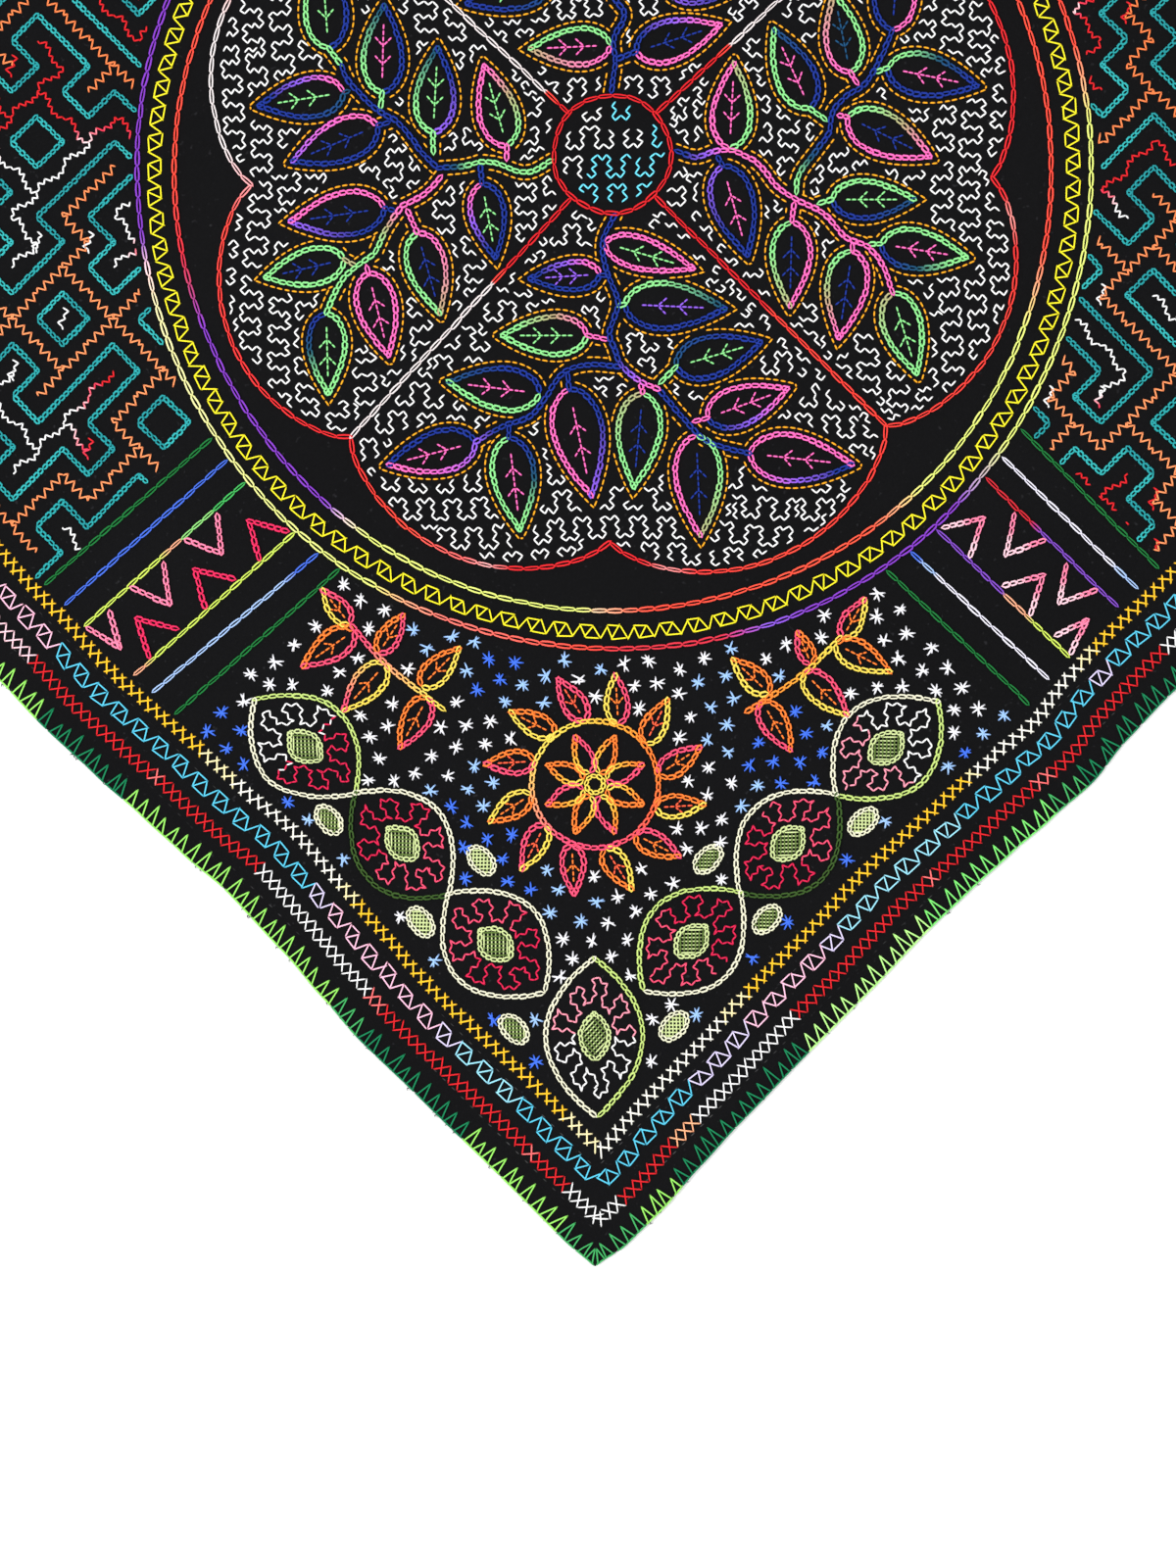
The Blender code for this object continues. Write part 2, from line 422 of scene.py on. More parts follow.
@dataclass
class Needlework:
    """The stitches of one thread, worked one by one and then joined as one mesh."""

    name: str
    ply_length: float = 0.96 * MM
    plies: int = 3
    dye_slip: float = 0.006
    stray: float = 0.12 * MM
    slack: tuple[float, float] = (0.84, 1.16)
    gap_spread: tuple[float, float] = (0.6, 1.4)
    map_starts: tuple[float, float] = (0.02, 0.35)
    map_margin: float = 0.001
    rows: dict[str, list[tuple[float, ...]]] = field(default_factory=dict)
    shapes: dict[str, ThreadShape] = field(default_factory=dict)

    def work(
        self,
        shape: ThreadShape,
        start: tuple[float, float],
        end: tuple[float, float],
        dye: tuple[float, float],
        width: float = 1.0,
        lift: float = 0.0,
        reach: float = 0.0,
    ) -> None:
        """Works one stitch from one place of the true square to another.

        Args:
            shape: the stitch's own shape.
            start: where the stitch comes up.
            end: where it goes down.
            dye: places on the thread's colours at its start and at its end.
            width: how wide it is against its shape.
            lift: how far it is raised over the cloth's face.
            reach: how far its shape runs on past the end, as a chain link's does.
        """
        ahead = (end[0] - start[0], end[1] - start[1])
        length = math.hypot(*ahead) + reach
        row = (*start, math.atan2(ahead[1], ahead[0]), length / shape.reach, width, lift, *dye)
        self.shapes[shape.name] = shape
        self.rows.setdefault(shape.name, []).append(row)

    def chain(
        self,
        shape: ThreadShape,
        path: np.ndarray,
        pitch: float,
        dye: tuple[float, float],
        width: float = 1.0,
        overlap: float = 0.13,
        lift: float = 0.0,
    ) -> None:
        """Works a row of chain links along a line of points.

        Args:
            shape: the link.
            path: the line's points.
            pitch: the length of one link.
            dye: places on the thread's colours at the row's two ends.
            width: how wide each link is against its shape.
            overlap: the share of a link that the next one covers.
            lift: how far the row is raised, as where it crosses another.
        """
        places = spaced(path, pitch)
        count = len(places) - 1
        for step in range(count):
            shares = (step / count, (step + 1) / count)
            tones = tuple(dye[0] + (dye[1] - dye[0]) * share for share in shares)
            loose = RNG.uniform(*self.slack) * width
            reach = overlap * math.dist(places[step], places[step + 1])
            start = np.array(places[step]) + RNG.normal(0.0, self.stray, 2)
            end = np.array(places[step + 1]) + RNG.normal(0.0, self.stray, 2)
            self.work(shape, tuple(start), tuple(end), tones, loose, lift, reach)

    def run(
        self,
        shape: ThreadShape,
        path: np.ndarray,
        pitch: float,
        dye: tuple[float, float],
        gap: float = 0.12,
    ) -> None:
        """Works a row of straight stitches along a line, with a little cloth between."""
        places = spaced(path, pitch)
        count = len(places) - 1
        for step in range(count):
            here, there = np.array(places[step]), np.array(places[step + 1])
            tone = dye[0] + (dye[1] - dye[0]) * (step + 0.5) / count
            stop = here + (there - here) * (1.0 - gap * RNG.uniform(*self.gap_spread))
            self.work(shape, tuple(here), tuple(stop), (tone, tone))

    def joined(self) -> bpy.types.Object:
        """Joins every stitch as one mesh, with the thread's own map of dye and twist.

        Returns:
            The new object, which is linked to the scene.
        """
        points, corners, totals, maps = [], [], [], []
        offset = 0
        for name, rows in self.rows.items():
            shape = self.shapes[name]
            places, shares = self.placed(shape, np.array(rows))
            count = len(rows)
            steps = np.repeat(np.arange(count) * len(shape.points) + offset, len(shape.corners))
            points.append(places)
            corners.append(np.tile(shape.corners, count) + steps)
            totals.append(np.tile(shape.totals, count))
            maps.append(shares)
            offset += count * len(shape.points)
        mesh = joined_mesh(
            self.name, SHAPE.seat(np.concatenate(points)), np.concatenate(corners),
            np.concatenate(totals), np.concatenate(maps),
        )
        return linked(self.name, mesh)

    def placed(self, shape: ThreadShape, rows: np.ndarray) -> tuple[np.ndarray, np.ndarray]:
        """Puts the shape at every one of its places.

        Args:
            shape: the stitch's own shape.
            rows: a row for each stitch, as work() keeps them.

        Returns:
            The points over the true square, and each corner's place on the thread's map.
        """
        start, angle, length, width = rows[:, 0:2], rows[:, 2], rows[:, 3], rows[:, 4]
        along = shape.points[None, :, 0] * length[:, None]
        aside = shape.points[None, :, 1] * width[:, None]
        c, s = np.cos(angle)[:, None], np.sin(angle)[:, None]
        x = start[:, :1] + along * c - aside * s
        y = start[:, 1:] + along * s + aside * c
        z = shape.points[None, :, 2] + rows[:, 5:6]
        route, turn = shape.shares.T
        slip = np.where(rows[:, 7] >= rows[:, 6], -self.dye_slip, self.dye_slip)[:, None]
        reached = 1.0 - np.abs(2.0 * route - 1.0) if shape.looped else route
        dye = rows[:, 6:7] + (rows[:, 7:8] - rows[:, 6:7]) * reached[None, :]
        first = RNG.uniform(*self.map_starts, len(rows))[:, None]
        worked = route[None, :] * shape.length * length[:, None]
        twist = (worked / self.ply_length + self.plies * turn[None, :]) / TURNS_ON_MAP
        places = np.stack([x, y, z], axis=2).reshape(-1, 3)
        uv = np.stack([dye + slip * turn[None, :], first + twist], axis=2).reshape(-1, 2)
        return places, np.clip(uv, self.map_margin, 1.0 - self.map_margin)


def spaced(path: np.ndarray, pitch: float) -> list[tuple[float, float]]:
    """Places at an even distance along a line of points, its two ends among them.

    Args:
        path: rows of (x, y).
        pitch: the distance wanted, which is eased so that a whole number fits.

    Returns:
        The places in order.
    """
    path = np.asarray(path, float)
    runs = np.hypot(*np.diff(path, axis=0).T)
    reached = np.concatenate([[0.0], np.cumsum(runs)])
    count = max(1, round(reached[-1] / pitch))
    stops = np.linspace(0.0, reached[-1], count + 1)
    return list(zip(np.interp(stops, reached, path[:, 0]), np.interp(stops, reached, path[:, 1])))


def joined_mesh(
    name: str, points: np.ndarray, corners: np.ndarray, totals: np.ndarray, maps: np.ndarray
) -> bpy.types.Mesh:
    """Fills a mesh from arrays, smooth, with its map under the name the export keeps.

    Args:
        name: the mesh's name.
        points: rows of (x, y, z).
        corners: each face corner's point.
        totals: each face's number of corners.
        maps: each face corner's place on the map.

    Returns:
        The mesh.
    """
    mesh = bpy.data.meshes.new(name)
    mesh.vertices.add(len(points))
    mesh.vertices.foreach_set("co", points.astype(np.float32).ravel())
    mesh.loops.add(len(corners))
    mesh.loops.foreach_set("vertex_index", corners.astype(np.int32))
    mesh.polygons.add(len(totals))
    starts = np.concatenate([[0], np.cumsum(totals)[:-1]])
    mesh.polygons.foreach_set("loop_start", starts.astype(np.int32))
    mesh.polygons.foreach_set("use_smooth", np.ones(len(totals), bool))
    mesh.update(calc_edges=True)
    layer = mesh.uv_layers.new(name="OFBake")
    layer.uv.foreach_set("vector", maps.astype(np.float32).ravel())
    mesh.validate()
    return mesh


def linked(name: str, mesh: bpy.types.Mesh) -> bpy.types.Object:
    """A new object of that mesh, in the scene."""
    piece = bpy.data.objects.new(name, mesh)
    bpy.context.scene.collection.objects.link(piece)
    return piece


class Socket:
    """A node's output that Python's operators turn into Math nodes."""

    def __init__(self, graph: "Graph", output: bpy.types.NodeSocket) -> None:
        """Keeps the graph and the output."""
        self.graph, self.output = graph, output

    def math(self, operation: str, *others: "Socket | float") -> "Socket":
        """A Math node that starts from this value."""
        values = dict(enumerate((self, *others)))
        return self.graph.node("ShaderNodeMath", {"operation": operation}, values)

    def __add__(self, other: "Socket | float") -> "Socket":
        """This value plus another."""
        return self.math("ADD", other)

    __radd__ = __add__

    def __mul__(self, other: "Socket | float") -> "Socket":
        """This value times another."""
        return self.math("MULTIPLY", other)

    __rmul__ = __mul__

    def __sub__(self, other: "Socket | float") -> "Socket":
        """This value less another."""
        return self.math("SUBTRACT", other)

    def __rsub__(self, other: float) -> "Socket":
        """A number less this value."""
        return self * -1.0 + other


class Graph:
    """The nodes of one material."""

    def __init__(self, name: str) -> None:
        """Starts a material with its shader and output alone."""
        self.material = bpy.data.materials.new(name)
        self.material.use_nodes = True
        self.nodes = self.material.node_tree.nodes
        self.links = self.material.node_tree.links
        self.shader = self.nodes["Principled BSDF"]

    def node(
        self,
        kind: str,
        settings: dict[str, object] | None = None,
        values: "dict[int | str, Socket | float | tuple] | None" = None,
        output: int | str = 0,
    ) -> Socket:
        """Adds one node.

        Args:
            kind: the node's type.
            settings: its own settings, or a ramp's stops under "stops".
            values: what goes into its sockets.
            output: the socket that the result stands for.

        Returns:
            That output.
        """
        made = self.nodes.new(kind)
        for name, value in (settings or {}).items():
            if name == "stops":
                self.set_stops(made.color_ramp, value)
            else:
                setattr(made, name, value)
        for key, value in (values or {}).items():
            self.feed(made.inputs[key], value)
        return Socket(self, made.outputs[output])

    def set_stops(self, ramp: bpy.types.ColorRamp, stops: Dyes) -> None:
        """Gives a ramp its stops."""
        while len(ramp.elements) < len(stops):
            ramp.elements.new(1.0)
        for element, (place, color) in zip(ramp.elements, stops):
            element.position = place
            element.color = (*color, 1.0)

    def feed(self, socket: bpy.types.NodeSocket, value: Socket | float | tuple) -> None:
        """Links a socket, or sets it where the value is the same everywhere."""
        if isinstance(value, Socket):
            self.links.new(value.output, socket)
        else:
            socket.default_value = value

    def shade(self, **values: Socket | float | tuple) -> bpy.types.Material:
        """Feeds the shader's sockets, named with _ for a space, and returns the material."""
        for name, value in values.items():
            self.feed(self.shader.inputs[name.replace("_", " ")], value)
        return self.material


def rgb(red: int, green: int, blue: int) -> Color:
    """A colour as seen, 0 to 255 in each of three lights, made linear."""
    shares = [value / 255.0 for value in (red, green, blue)]
    return tuple(s / 12.92 if s <= 0.04045 else ((s + 0.055) / 1.055) ** 2.4 for s in shares)


@dataclass(frozen=True)
class ThreadFinish:
    """Soft cotton thread of three plies, dyed along its length."""

    name: str
    dyes: tuple[tuple[float, Color], ...]
    # painted shade: how much darker the colour is made in the grooves between plies
    groove_shade: float = 0.36
    roughness: float = 0.62
    bump: float = 0.35
    bump_depth: float = 0.2 * MM
    # painted highlight: the colour's scale on the ply crests, which also sets the thread's overall
    # brightness
    crest_highlight: float = 1.24
    mottle: float = 0.25
    fibres: tuple[float, float, float] = (900.0, 160.0, 0.0)

    def material(self) -> bpy.types.Material:
        """Colour from the dye's place, with painted shade in the grooves between plies and a painted
        highlight on their crests.

        Returns:
            The material.
        """
        graph = Graph(self.name)
        uv = graph.node("ShaderNodeUVMap", {"uv_map": "OFBake"})
        parts = graph.node("ShaderNodeSeparateXYZ", values={0: uv})
        dye = Socket(graph, parts.output.node.outputs[0])
        twist = Socket(graph, parts.output.node.outputs[1])
        color = graph.node("ShaderNodeValToRGB", {"stops": list(self.dyes)}, {0: dye})
        wave = (twist * (2.0 * math.pi * TURNS_ON_MAP)).math("SINE") * 0.5 + 0.5
        fibre = graph.node(
            "ShaderNodeTexNoise", {"noise_dimensions": "2D"},
            {"Vector": graph.node("ShaderNodeVectorMath", {"operation": "MULTIPLY"},
                                  {0: uv, 1: self.fibres}),
             "Scale": 1.0, "Detail": 2.0},
        )
        # painted shade in the ply grooves, plus random mottle from the fibre noise
        groove_shade_and_mottle = (1.0 - wave) * self.groove_shade + (fibre - 0.5) * self.mottle
        # colour scale: a painted highlight on the ply crests and painted shade in the grooves
        tone = self.crest_highlight - groove_shade_and_mottle
        shaded = graph.node(
            "ShaderNodeVectorMath", {"operation": "SCALE"}, {0: color, "Scale": tone}
        )
        height = wave + fibre * 0.4
        normal = graph.node("ShaderNodeBump", values={
            "Height": height, "Strength": self.bump, "Distance": self.bump_depth})
        return graph.shade(
            Base_Color=shaded, Roughness=self.roughness, Normal=normal, Sheen_Weight=0.06,
            Sheen_Roughness=0.45, Specular_IOR_Level=0.22,
        )


WHITE, PALE_PINK = rgb(240, 240, 240), rgb(250, 205, 215)
RED, CORAL, PINK = rgb(215, 22, 32), rgb(248, 72, 55), rgb(250, 105, 185)
VIOLET, PURPLE, BLUE = rgb(140, 90, 225), rgb(128, 55, 190), rgb(12, 45, 142)
TEAL_BLUE, PALE_GREEN, TAN = rgb(12, 78, 105), rgb(138, 222, 138), rgb(180, 160, 120)
MID_BLUE, PALE_BLUE, SKY = rgb(60, 108, 228), rgb(150, 188, 240), rgb(85, 195, 225)
YELLOW, GOLD, PEACH = rgb(245, 233, 35), rgb(245, 165, 20), rgb(250, 175, 130)
LIME, DEEP_GREEN, BAR_GREEN = rgb(145, 222, 95), rgb(0, 122, 76), rgb(12, 112, 48)
PALE_LIME, OLIVE, ORANGE = rgb(222, 235, 120), rgb(52, 84, 28), rgb(250, 125, 45)


@dataclass(frozen=True)
class Palette:
    """Named dyes laid side by side on a thread's colours, each as a flat band."""

    colors: dict[str, Color]

    def at(self, name: str) -> float:
        """The middle of a dye's band."""
        return (list(self.colors).index(name) + 0.5) / len(self.colors)

    def pair(self, name: str) -> tuple[float, float]:
        """The same dye at both ends of a stitch, or a fade written as one>other."""
        first, _, last = name.partition(">")
        return self.at(first), self.at(last or first)

    @property
    def dyes(self) -> Dyes:
        """The ramp's stops: two for each band, with a short fade between bands."""
        count = len(self.colors)
        stops = []
        for step, color in enumerate(self.colors.values()):
            stops.append(((step + 0.12) / count, color))
            stops.append(((step + 0.88) / count, color))
        return tuple(stops)


COUNTS: list[int] = []


def finish_piece(piece: bpy.types.Object, material: bpy.types.Material) -> None:
    """Gives a new piece its material and its body, and logs it.

    Args:
        piece: the new object.
        material: what it is finished in.
    """
    piece.data.materials.append(material)
    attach(piece, BODY)
    count = sum(len(face.vertices) - 2 for face in piece.data.polygons)
    COUNTS.append(count)
    LOG.info("%s: %d triangles, %d in all", piece.name, count, sum(COUNTS))


def dress(work: Needlework, dyes: Dyes) -> None:
    """Joins a thread's stitches and finishes them in its dyes."""
    finish_piece(work.joined(), ThreadFinish(work.name, dyes).material())


class Edge(Enum):
    """The cloth's four edges, named as they stand in the view."""

    NEAR_LEFT = "near_left"
    NEAR_RIGHT = "near_right"
    FAR_LEFT = "far_left"
    FAR_RIGHT = "far_right"

    def place(self, along: float, inset: float) -> tuple[float, float]:
        """A place at a distance along this edge, and in from it."""
        return {
            Edge.NEAR_LEFT: (inset - HALF, along - HALF),
            Edge.NEAR_RIGHT: (along - HALF, inset - HALF),
            Edge.FAR_LEFT: (along - HALF, HALF - inset),
            Edge.FAR_RIGHT: (HALF - inset, along - HALF),
        }[self]


@dataclass(frozen=True)
class CottonFinish:
    """Black plain-woven cotton, a little dusty, with the drawing's pale pencil dashes."""

    color: Color = (0.0036, 0.0036, 0.0042)
    thread_pitch: float = 0.5 * MM
    bump_depth: float = 0.2 * MM
    marks: tuple[float, float] = (12.6 * MM, 32.5 * MM)
    mark_widths: tuple[float, float] = (0.22 * MM, 0.18 * MM)
    dash_pitch: float = 5.8 * MM

    def material(self) -> bpy.types.Material:
        """The weave as bump and colour, then lint and the faint pencil lines.

        Returns:
            The material.
        """
        graph = Graph("black_cotton_weave")
        spot = graph.node("ShaderNodeTexCoord", output="Object")
        parts = graph.node("ShaderNodeSeparateXYZ", values={0: spot}).output.node.outputs
        x, y = Socket(graph, parts[0]), Socket(graph, parts[1])
        turn = 2.0 * math.pi / self.thread_pitch
        warp, weft = (x * turn).math("SINE"), (y * turn).math("SINE")
        weave = warp * weft * 0.5 + 0.5
        slubs = graph.node(
            "ShaderNodeTexNoise", values={"Vector": spot, "Scale": 900.0, "Detail": 3.0}
        )
        dust = graph.node("ShaderNodeTexNoise", values={"Vector": spot, "Scale": 9.0, "Detail": 4.0})
        lint = graph.node(
            "ShaderNodeTexNoise", values={"Vector": spot, "Scale": 420.0, "Detail": 1.0}
        )
        flecks = (lint - 0.70).math("MAXIMUM", 0.0) * 2.4
        rim = (HALF - x.math("ABSOLUTE")).math("MINIMUM", HALF - y.math("ABSOLUTE"))
        dashes = (((x + y) * (2.0 * math.pi / self.dash_pitch)).math("SINE") - 0.35).math("MAXIMUM", 0.0)
        outer, inner = (
            (rim - stand).math("ABSOLUTE").math("LESS_THAN", width)
            for stand, width in zip(self.marks, self.mark_widths)
        )
        wander = (dust - 0.47).math("MAXIMUM", 0.0) * 6.0
        pencil = ((outer + inner) * dashes * wander).math("MINIMUM", 0.5) * 0.10
        tone = 0.72 + weave * 0.40 + (slubs - 0.5) * 0.7 + (dust - 0.5) * 0.5
        base = graph.node(
            "ShaderNodeVectorMath", {"operation": "SCALE"}, {0: self.color, "Scale": tone}
        )
        paler = graph.node("ShaderNodeCombineXYZ", values={
            0: flecks * 0.04 + pencil, 1: flecks * 0.04 + pencil, 2: flecks * 0.045 + pencil})
        color = graph.node("ShaderNodeVectorMath", {"operation": "ADD"}, {0: base, 1: paler})
        normal = graph.node("ShaderNodeBump", values={
            "Height": weave + slubs * 0.8, "Strength": 0.35, "Distance": self.bump_depth})
        return graph.shade(
            Base_Color=color, Roughness=0.9, Normal=normal, Specular_IOR_Level=0.10,
        )


class Level(Enum):
    """The sheet's three layers of points, by their height before they are seated."""

    FACE = 0.0
    MIDDLE = -0.5
    BELOW = -1.0


@dataclass
class ClothSheet:
    """The cotton itself: one sheet with its hem, rippled where the edge is sewn over."""

    field_pitch: float = 8.8 * MM
    rim_lines: tuple[float, ...] = (0.0, 0.7 * MM, 2.0 * MM, 6.0 * MM, 8.4 * MM, 10.0 * MM, 14.0 * MM)
    ripple: float = 0.25 * MM
    ripple_reach: float = 9.0 * MM
    long_edge: float = 4.5 * MM
    rim_cuts: int = 3
    sharp_angle: float = math.radians(60)
    touching: float = 1e-7
    map_margin: float = 10.0 * MM
    face_map: tuple[float, float] = (0.86, 0.998)
    underside_map: tuple[float, float] = (0.87, 0.12)

    def lines(self) -> np.ndarray:
        """Where the sheet's grid lines cross one side of the true square."""
        inner = HALF - self.rim_lines[-1]
        count = round(2.0 * inner / self.field_pitch)
        middle = np.linspace(-inner, inner, count + 1)
        rim = np.array(self.rim_lines[1:-1])
        return np.concatenate([rim - HALF, middle, HALF - rim[::-1]])

    def build(self) -> None:
        """Models the sheet and puts it in the solid's place."""
        lines = self.lines()
        count = len(lines) - 1
        bm = bmesh.new()
        bmesh.ops.create_grid(bm, x_segments=count, y_segments=count, size=0.5)
        for vert in bm.verts:
            column, row = round((vert.co.x + 0.5) * count), round((vert.co.y + 0.5) * count)
            vert.co = (lines[column], lines[row], 0.0)
        self.refine_rim(bm)
        plan = bm.verts.layers.float_vector.new("plan")
        for vert in bm.verts:
            vert[plan] = vert.co
        below = bmesh.ops.extrude_face_region(bm, geom=list(bm.faces), use_keep_orig=True)
        for item in below["geom"]:
            if isinstance(item, bmesh.types.BMVert):
                item.co.z = Level.BELOW.value
        rungs = [e for e in bm.edges if e.verts[0].co.z != e.verts[1].co.z]
        bmesh.ops.subdivide_edges(bm, edges=rungs, cuts=1)
        self.set_places(bm, plan)
        flat = [f for f in bm.faces if all(abs(v.co.z) < self.touching for v in f.verts)]
        bmesh.ops.dissolve_faces(bm, faces=flat, use_verts=False)
        bmesh.ops.recalc_face_normals(bm, faces=bm.faces)
        self.draw_map(bm)
        mesh = bpy.data.meshes.new("cotton_sheet")
        bm.to_mesh(mesh)
        bm.free()
        mesh.shade_smooth()
        mesh.set_sharp_from_angle(angle=self.sharp_angle)
        sheet = linked("cotton_sheet", mesh)
        finish_piece(sheet, CottonFinish().material())
        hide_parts("cloth")

    def refine_rim(self, bm: bmesh.types.BMesh) -> None:
        """Divides the edges that run along the rim, so that it can ripple."""
        near = HALF - self.rim_lines[-1] + 1e-5
        long_edges = []
        for edge in bm.edges:
            a, b = (v.co for v in edge.verts)
            middle = (a + b) / 2
            beside_x = abs(middle.x) > near and abs(a.y - b.y) > self.long_edge
            beside_y = abs(middle.y) > near and abs(a.x - b.x) > self.long_edge
            if beside_x or beside_y:
                long_edges.append(edge)
        bmesh.ops.subdivide_edges(bm, edges=long_edges, cuts=self.rim_cuts, use_grid_fill=True)

    def set_places(self, bm: bmesh.types.BMesh, plan: bmesh.types.BMLayerItem) -> None:
        """Seats the face, the rim's middle and the underside on the cloth's shape."""
        verts = list(bm.verts)
        rows = np.array([tuple(vert[plan]) for vert in verts])
        level = np.array([vert.co.z for vert in verts]).round(1)
        middle, top = level == Level.MIDDLE.value, level == Level.FACE.value
        inner = HALF - self.rim_lines[1]
        for axis in (0, 1):
            side = np.abs(rows[:, axis]) > inner - 1e-6
            rows[:, axis] = np.where(middle & side, np.sign(rows[:, axis]) * HALF, rows[:, axis])
        seated = SHAPE.seat(np.column_stack([rows[:, :2], np.zeros(len(rows))]))
        rim = HALF - np.abs(rows[:, :2]).max(axis=1)
        along = np.where(np.abs(rows[:, 0]) > np.abs(rows[:, 1]), rows[:, 1], rows[:, 0])
        wave = np.sin(2.0 * np.pi * along / TENT_PITCH) * (1.0 - eased(rim / self.ripple_reach))
        share = np.where(middle, 0.5, np.where(top, 1.0, 0.0))
        seated[:, 2] = (seated[:, 2] + self.ripple * wave) * share
        for vert, place in zip(verts, seated):
            vert.co = place

    def draw_map(self, bm: bmesh.types.BMesh) -> None:
        """Maps the face to one half of the square and the underside to the other."""
        layer = bm.loops.layers.uv.new("OFBake")
        half = HALF + self.map_margin
        whole = 2.0 * half
        (wide, tall), (start, small) = self.face_map, self.underside_map
        for face in bm.faces:
            below = face.normal.z < -0.5
            for loop in face.loops:
                u, v = (loop.vert.co.x + half) / whole, (loop.vert.co.y + half) / whole
                loop[layer].uv = (u * small + start, v * small) if below else (u * wide, v * tall)


@dataclass(frozen=True)
class Lamp:
    """One broad lamp: its place, its power in watts and the length of its side."""

    name: str
    place: tuple[float, float, float]
    power: float
    size: float


@dataclass
class Studio:
    """A pale floor, soft overhead light and the camera straight above."""

    aim: tuple[float, float] = (-0.1980, -0.1930)
    height: float = 1.956
    lens: float = 100.0
    floor_half: float = 6.0
    floor_drop: float = 0.3 * MM
    floor_tone: float = 0.93
    sky: float = 0.75
    lamps: tuple[Lamp, ...] = (
        Lamp("key", (-1.3, 0.6, 1.9), 34.0, 0.9), Lamp("fill", (0.9, -0.9, 2.4), 26.0, 1.6),
    )

    def build(self) -> None:
        """Sets up the floor, the lamps and the camera."""
        scene = bpy.context.scene
        scene.view_settings.view_transform = "Standard"
        self.floor()
        self.camera()
        self.lights()

    def floor(self) -> None:
        """A wide plain floor just under the cloth."""
        bm = bmesh.new()
        bmesh.ops.create_grid(bm, x_segments=2, y_segments=2, size=self.floor_half)
        bmesh.ops.translate(bm, verts=bm.verts, vec=(0.0, 0.0, -self.floor_drop))
        mesh = bpy.data.meshes.new("floor")
        bm.to_mesh(mesh)
        bm.free()
        floor = linked("floor", mesh)
        graph = Graph("pale_floor")
        spot = graph.node("ShaderNodeTexCoord", output="Object")
        grain = graph.node("ShaderNodeTexNoise", values={"Vector": spot, "Scale": 60.0})
        tone = grain * 0.01 + self.floor_tone
        shade = graph.node("ShaderNodeCombineXYZ", values={0: tone, 1: tone, 2: tone})
        mesh.materials.append(graph.shade(Base_Color=shade, Roughness=0.95))

    def camera(self) -> None:
        """Looks straight down, with the cloth's diagonal upright in the view."""
        data = bpy.data.cameras.new("camera")
        data.lens = self.lens
        camera = bpy.data.objects.new("camera", data)
        camera.location = (*self.aim, self.height)
        camera.rotation_euler = (0.0, 0.0, -math.pi / 4)
        bpy.context.scene.collection.objects.link(camera)
        bpy.context.scene.camera = camera

    def lights(self) -> None:
        """An even white sky and two broad lamps, so that the thread keeps a little shade."""
        world = bpy.data.worlds.new("studio")
        world.use_nodes = True
        sky = world.node_tree.nodes["Background"]
        sky.inputs["Color"].default_value = (1.0, 1.0, 1.0, 1.0)
        sky.inputs["Strength"].default_value = self.sky
        bpy.context.scene.world = world
        for lamp in self.lamps:
            data = bpy.data.lights.new(lamp.name, "AREA")
            data.energy, data.size = lamp.power, lamp.size
            light = bpy.data.objects.new(lamp.name, data)
            light.location = lamp.place
            away = Vector(lamp.place) - Vector((*self.aim, 0.0))
            light.rotation_euler = away.to_track_quat("Z", "Y").to_euler()
            bpy.context.scene.collection.objects.link(light)


Runs = tuple[tuple[float, str], ...]


def run_at(runs: Runs, along: float) -> str:
    """The name that holds at a distance along an edge, from rows of (end, name)."""
    for end, name in runs:
        if along < end:
            return name
    return runs[-1][1]


def repeated(names: tuple[str, ...], length: float, first: Runs = ()) -> Runs:
    """Colour runs of one length, one after another, after some of their own lengths.

    Args:
        names: the dyes in turn.
        length: how long each run is.
        first: the runs before them.

    Returns:
        Rows of (end, name) as far as the cloth's side.
    """
    rows = list(first)
    reached = rows[-1][0] if rows else 0.0
    step = 0
    while reached < SIDE:
        reached += length * RNG.uniform(0.8, 1.2)
        rows.append((reached, names[step % len(names)]))
        step += 1
    return tuple(rows)


